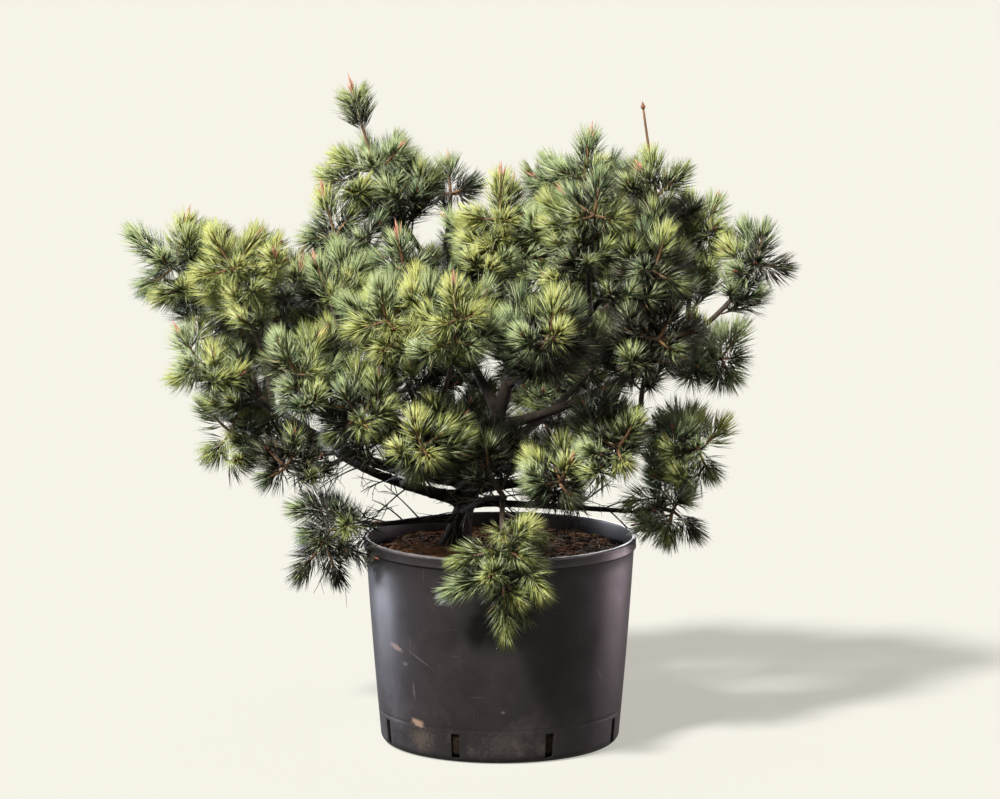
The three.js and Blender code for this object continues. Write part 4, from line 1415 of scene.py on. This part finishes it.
def potMaterial():
    material, tree, shader, place = newMaterial("pot_plastic", {"Specular IOR Level": 0.5})
    mottle = noiseOf(tree, place, 9, 5, 0.6)
    plain = rampOf(tree, mottle, [(0.3, potLook["dark"]), (0.7, potLook["light"])])
    dust = rampOf(tree, noiseOf(tree, place, 26, 8, 0.7), [(0.52, 0.0), (0.75, 0.5)])
    height = addNode(tree, "SeparateXYZ", {"Vector": place}).outputs["Z"]
    lowest, above = potLook["dustShares"]
    dusty = mathOf(tree, "MULTIPLY", dust, rangeOf(tree, height, potLook["dustHeight"], 0.0, above, lowest))
    colour = mixOf(tree, dusty, plain, potLook["dust"])
    for streak in potStreaks:
        slant = {"Vector": place, "Rotation": streak["turn"], "Scale": streak["scale"]}
        turned = addNode(tree, "Mapping", slant).outputs["Vector"]
        ends = list(zip(streak["edges"], (0.0, streak["show"])))
        colour = mixOf(tree, rampOf(tree, noiseOf(tree, turned, 1.0, 3, 0.5), ends), colour, streak["colour"])
    for spot in potMarks:
        colour = mixOf(tree, markMask(tree, place, spot), colour, spot["colour"])
    # the rim's top edge, paler in places: partly real wear and partly a painted highlight where the edge
    # catches the light
    low, high = (pot["height"] * mm - depth for depth in potLook["wearAndHighlightDepths"])
    wearAndHighlight = rampOf(tree, noiseOf(tree, place, 38, 5, 0.7), [(0.35, 0.1), (0.62, 0.75)])
    wearAndHighlightMask = mathOf(tree, "MULTIPLY", rangeOf(tree, height, low, high), wearAndHighlight)
    colour = mixOf(tree, wearAndHighlightMask, colour, potLook["wearAndHighlight"])
    tree.links.new(colour, shader.inputs["Base Color"])
    roughness = rampOf(tree, noiseOf(tree, place, 17, 7, 0.65), [(0.3, 0.34), (0.72, 0.52)])
    tree.links.new(mixOf(tree, dusty, roughness, (0.8, 0.8, 0.8)), shader.inputs["Roughness"])
    bumpOf(tree, shader, noiseOf(tree, place, 320, 3, 0.5), 0.12, 0.0008)
    return material


def makePot():
    piece = placed("pot_shell", meshFrom("pot_shell", spun(potProfile(), pot["sides"])))
    cutter = slotCutter()
    piece.modifiers.new("slots", "BOOLEAN").object = cutter
    bevel = piece.modifiers.new("edges", "BEVEL")
    bevel.width = pot["edge"] * mm
    bevel.segments = 2
    bevel.limit_method = "ANGLE"
    bevel.angle_limit = pot["edgeAngle"]
    applied(piece)
    bpy.data.objects.remove(cutter)
    piece.data.shade_smooth()
    piece.data.materials.clear()
    piece.data.materials.append(potMaterial())
    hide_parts("pot")


makePot()
print("pot done")

# Soil
soil = {
    "edgeDrop": 8,
    "edgeWidth": 30,
    "lumps": 3.2,
    "lumpSize": 26,
    "grit": 1.1,
    "gritSize": 4.5,
    "mound": 7,
    "moundReach": 70,
    "sunk": 1.5,
    "sides": 150,
    "ringStep": 4,
}


def fromTrunk(x, y):
    foot = trunk["curve"][0]
    return math.hypot(x - foot[0], y - foot[1])


def soilHeight(x, y):
    wall = pot["topRadius"] - pot["wall"] - 2
    edge = soil["edgeDrop"] * max(0, 1 - (wall - math.hypot(x, y)) / soil["edgeWidth"])
    mound = soil["mound"] * math.exp(-((fromTrunk(x, y) / soil["moundReach"]) ** 2))
    lumps = soil["lumps"] * noise.fractal(Vector((x, y, 3)) / soil["lumpSize"], 0.9, 2.1, 4)
    grit = soil["grit"] * noise.noise(Vector((x, y, 9)) / soil["gritSize"])
    return soilLevel - edge + mound + lumps + grit - soil["sunk"]


def soilMaterial(name, dark, middle, light, scale):
    material, tree, shader, place = newMaterial(name, {"Roughness": 0.97, "Specular IOR Level": 0.2})
    colour = rampOf(tree, noiseOf(tree, place, scale, 8, 0.7), [(0.3, dark), (0.52, middle), (0.75, light)])
    tree.links.new(colour, shader.inputs["Base Color"])
    bumpOf(tree, shader, noiseOf(tree, place, scale * 3, 6, 0.75), 0.8, 0.002)
    return material


def makeSoil():
    wall = pot["topRadius"] - pot["wall"] - 1
    low = pot["wall"] + 0.5
    bottom = pot["baseRadius"] - pot["wall"] - 1
    count = int(wall / soil["ringStep"])
    profile = [(wall * i / count, soilLevel) for i in range(count + 1)]
    profile += [(wall - 0.5, soilLevel - 20), (bottom, pot["footRound"] + 2), (bottom - 16, low), (0, low)]
    body = spun(profile, soil["sides"])
    for vert in body.verts:
        if vert.co.z > (soilLevel - 1) * mm:
            vert.co.z = soilHeight(vert.co.x / mm, vert.co.y / mm) * mm
    piece = placed("soil_bed", meshFrom("soil_bed", body))
    piece.data.shade_smooth()
    piece.data.materials.append(
        soilMaterial("soil_dark", (0.006, 0.004, 0.003), (0.022, 0.014, 0.009), (0.06, 0.036, 0.02), 90)
    )
    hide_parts("soil")


makeSoil()

crumb = {
    "count": 2300,
    "size": (1.6, 6.5),
    "smallness": 2.5,
    "corners": (0.65, 1.25),
    "squash": (0.45, 1),
    "rise": 0.25,
    "barkShare": 0.3,
    "seed": 31,
}
litter = {
    "count": 1500,
    "length": (30, 58),
    "radius": 0.6,
    "middle": (-0.1, 0.1),
    "bend": 1.6,
    "rise": (0.8, 5.5),
    "pile": (-116, -84),
    "pileReach": 52,
    "pileShare": 0.55,
    "strawShare": 0.35,
    "wallGap": 10,
    "tipGap": 7,
    "trunkGap": 34,
    "seed": 33,
}


# a place on the soil, some of them in the pile in front of the trunk
def onSoil(rng, pileShare):
    wall = pot["topRadius"] - litter["wallGap"]
    while True:
        if rng.random() < pileShare:
            x, y = rng.normal(litter["pile"], litter["pileReach"])
        else:
            radius = wall * math.sqrt(rng.random())
            angle = rng.random() * 2 * math.pi
            x, y = radius * math.cos(angle), radius * math.sin(angle)
        if math.hypot(x, y) < wall and fromTrunk(x, y) > litter["trunkGap"]:
            return x, y


def makeCrumbs():
    ball = bmesh.new()
    bmesh.ops.create_icosphere(ball, subdivisions=1, radius=1)
    ball.verts.ensure_lookup_table()
    corners = np.array([vert.co for vert in ball.verts])
    faces = np.array([[vert.index for vert in face.verts] for face in ball.faces])
    ball.free()
    rng = np.random.default_rng(crumb["seed"])
    heap = Heap()
    for _ in range(crumb["count"]):
        x, y = onSoil(rng, 0)
        size = between(*crumb["size"], rng.random() ** crumb["smallness"])
        uneven = corners * rng.uniform(*crumb["corners"], (len(corners), 1))
        uneven = uneven * size * rng.uniform(*crumb["squash"], 3)
        turn = np.array(Matrix.Rotation(rng.random() * 2 * math.pi, 3, "Z"))
        centre = np.array((x, y, soilHeight(x, y) + size * crumb["rise"]))
        heap.add(uneven @ turn.T + centre, faces, int(rng.random() < crumb["barkShare"]))
    finishes = [
        soilMaterial("crumb_dark", (0.008, 0.005, 0.004), (0.03, 0.019, 0.013), (0.07, 0.045, 0.03), 260),
        soilMaterial("crumb_bark", (0.05, 0.028, 0.017), (0.11, 0.065, 0.04), (0.2, 0.13, 0.085), 260),
    ]
    heap.build("soil_crumbs", finishes, "soil")


def makeLitter():
    rng = np.random.default_rng(litter["seed"])
    laid = []
    while len(laid) < litter["count"]:
        x, y = onSoil(rng, litter["pileShare"])
        angle = rng.random() * 2 * math.pi
        length = rng.uniform(*litter["length"])
        head = np.array((math.cos(angle), math.sin(angle), 0))
        points = []
        for along in (-0.5, rng.uniform(*litter["middle"]), 0.5):
            point = np.array((x, y, 0)) + head * length * along
            if math.hypot(*point[:2]) > pot["topRadius"] - litter["tipGap"]:
                break
            point[2] = soilHeight(*point[:2]) + rng.uniform(*litter["rise"])
            points.append(point)
        if len(points) == 3:
            points[1][:2] += rng.normal(0, litter["bend"], 2)
            laid.append(points)
    shades = (rng.random(len(laid)) < litter["strawShare"]).astype(int)
    heap = Heap()
    addNeedles(heap, *np.array(laid).transpose(1, 0, 2), litter["radius"], shades)
    finishes = [
        twigMaterial("dry_needle_orange", (0.28, 0.10, 0.03), (0.50, 0.21, 0.07), 120),
        twigMaterial("dry_needle_straw", (0.30, 0.19, 0.10), (0.50, 0.35, 0.20), 120),
    ]
    heap.build("dry_needles", finishes, "soil")


makeCrumbs()
makeLitter()
print("soil done")

# Floor and light
studio = {
    "floorSize": 60,
    "floor": (0.218, 0.219, 0.211),
    "floorGlow": (0.879, 0.854, 0.768),
    "glowStrength": 0.54,
    "world": (1.0, 0.95, 0.87),
    "worldStrength": 0.20,
    "sun": 8.2,
    "sunSize": math.radians(8),
    "sunColour": (1.0, 0.965, 0.90),
    "aim": (0, 0, 0.2),
}
lamps = {
    "cool_side": dict(at=(-2.3, 1.2, 0.3), size=1.2, power=95, colour=(0.80, 0.85, 1.0)),
    "warm_side": dict(at=(2.3, 1.2, 0.3), size=1.2, power=40, colour=(1.0, 0.80, 0.90)),
    "front": dict(at=(2.4, -2.4, 1.3), size=1.6, power=22, colour=(1.0, 0.94, 0.90)),
    "back": dict(at=(0.6, 3.2, 1.7), size=2.0, power=120, colour=(0.96, 0.97, 1.0)),
}


def makeFloor():
    body = bmesh.new()
    bmesh.ops.create_grid(body, x_segments=1, y_segments=1, size=studio["floorSize"])
    floor = bpy.data.objects.new("floor", meshFrom("floor", body))
    scene.collection.objects.link(floor)
    inputs = {
        "Base Color": (*studio["floor"], 1),
        "Emission Color": (*studio["floorGlow"], 1),
        "Emission Strength": studio["glowStrength"],
        "Roughness": 0.9,
        "Specular IOR Level": 0.1,
    }
    floor.data.materials.append(newMaterial("floor_pale", inputs)[0])
    # the floor throws no light back up, as on a wide pale sweep lit from above
    floor.visible_diffuse = False
    floor.visible_glossy = False


# a light that shines from the heading given
def addLight(name, kind, power, colour, heading):
    light = bpy.data.lights.new(name, kind)
    light.energy = power
    light.color = colour
    lamp = bpy.data.objects.new(name, light)
    scene.collection.objects.link(lamp)
    lamp.rotation_euler = heading.to_track_quat("Z", "Y").to_euler()
    return lamp


def makeLight():
    world = bpy.data.worlds.new("studio")
    world.use_nodes = True
    background = world.node_tree.nodes["Background"]
    background.inputs["Color"].default_value = (*studio["world"], 1)
    background.inputs["Strength"].default_value = studio["worldStrength"]
    scene.world = world
    sun = addLight("key", "SUN", studio["sun"], studio["sunColour"], Vector(sunHeading))
    sun.data.angle = studio["sunSize"]
    # the area lights reach the plant and pot only, so the floor stays even
    receivers = bpy.data.collections.new("plant_and_pot")
    for piece in scene.objects:
        if piece.type == "MESH" and piece.name != "floor":
            receivers.objects.link(piece)
    for name, own in lamps.items():
        place = Vector(own["at"])
        lamp = addLight(name, "AREA", own["power"], own["colour"], place - Vector(studio["aim"]))
        lamp.data.size = own["size"]
        lamp.location = place
        lamp.light_linking.receiver_collection = receivers
    scene.view_settings.view_transform = "Standard"


makeFloor()
makeLight()
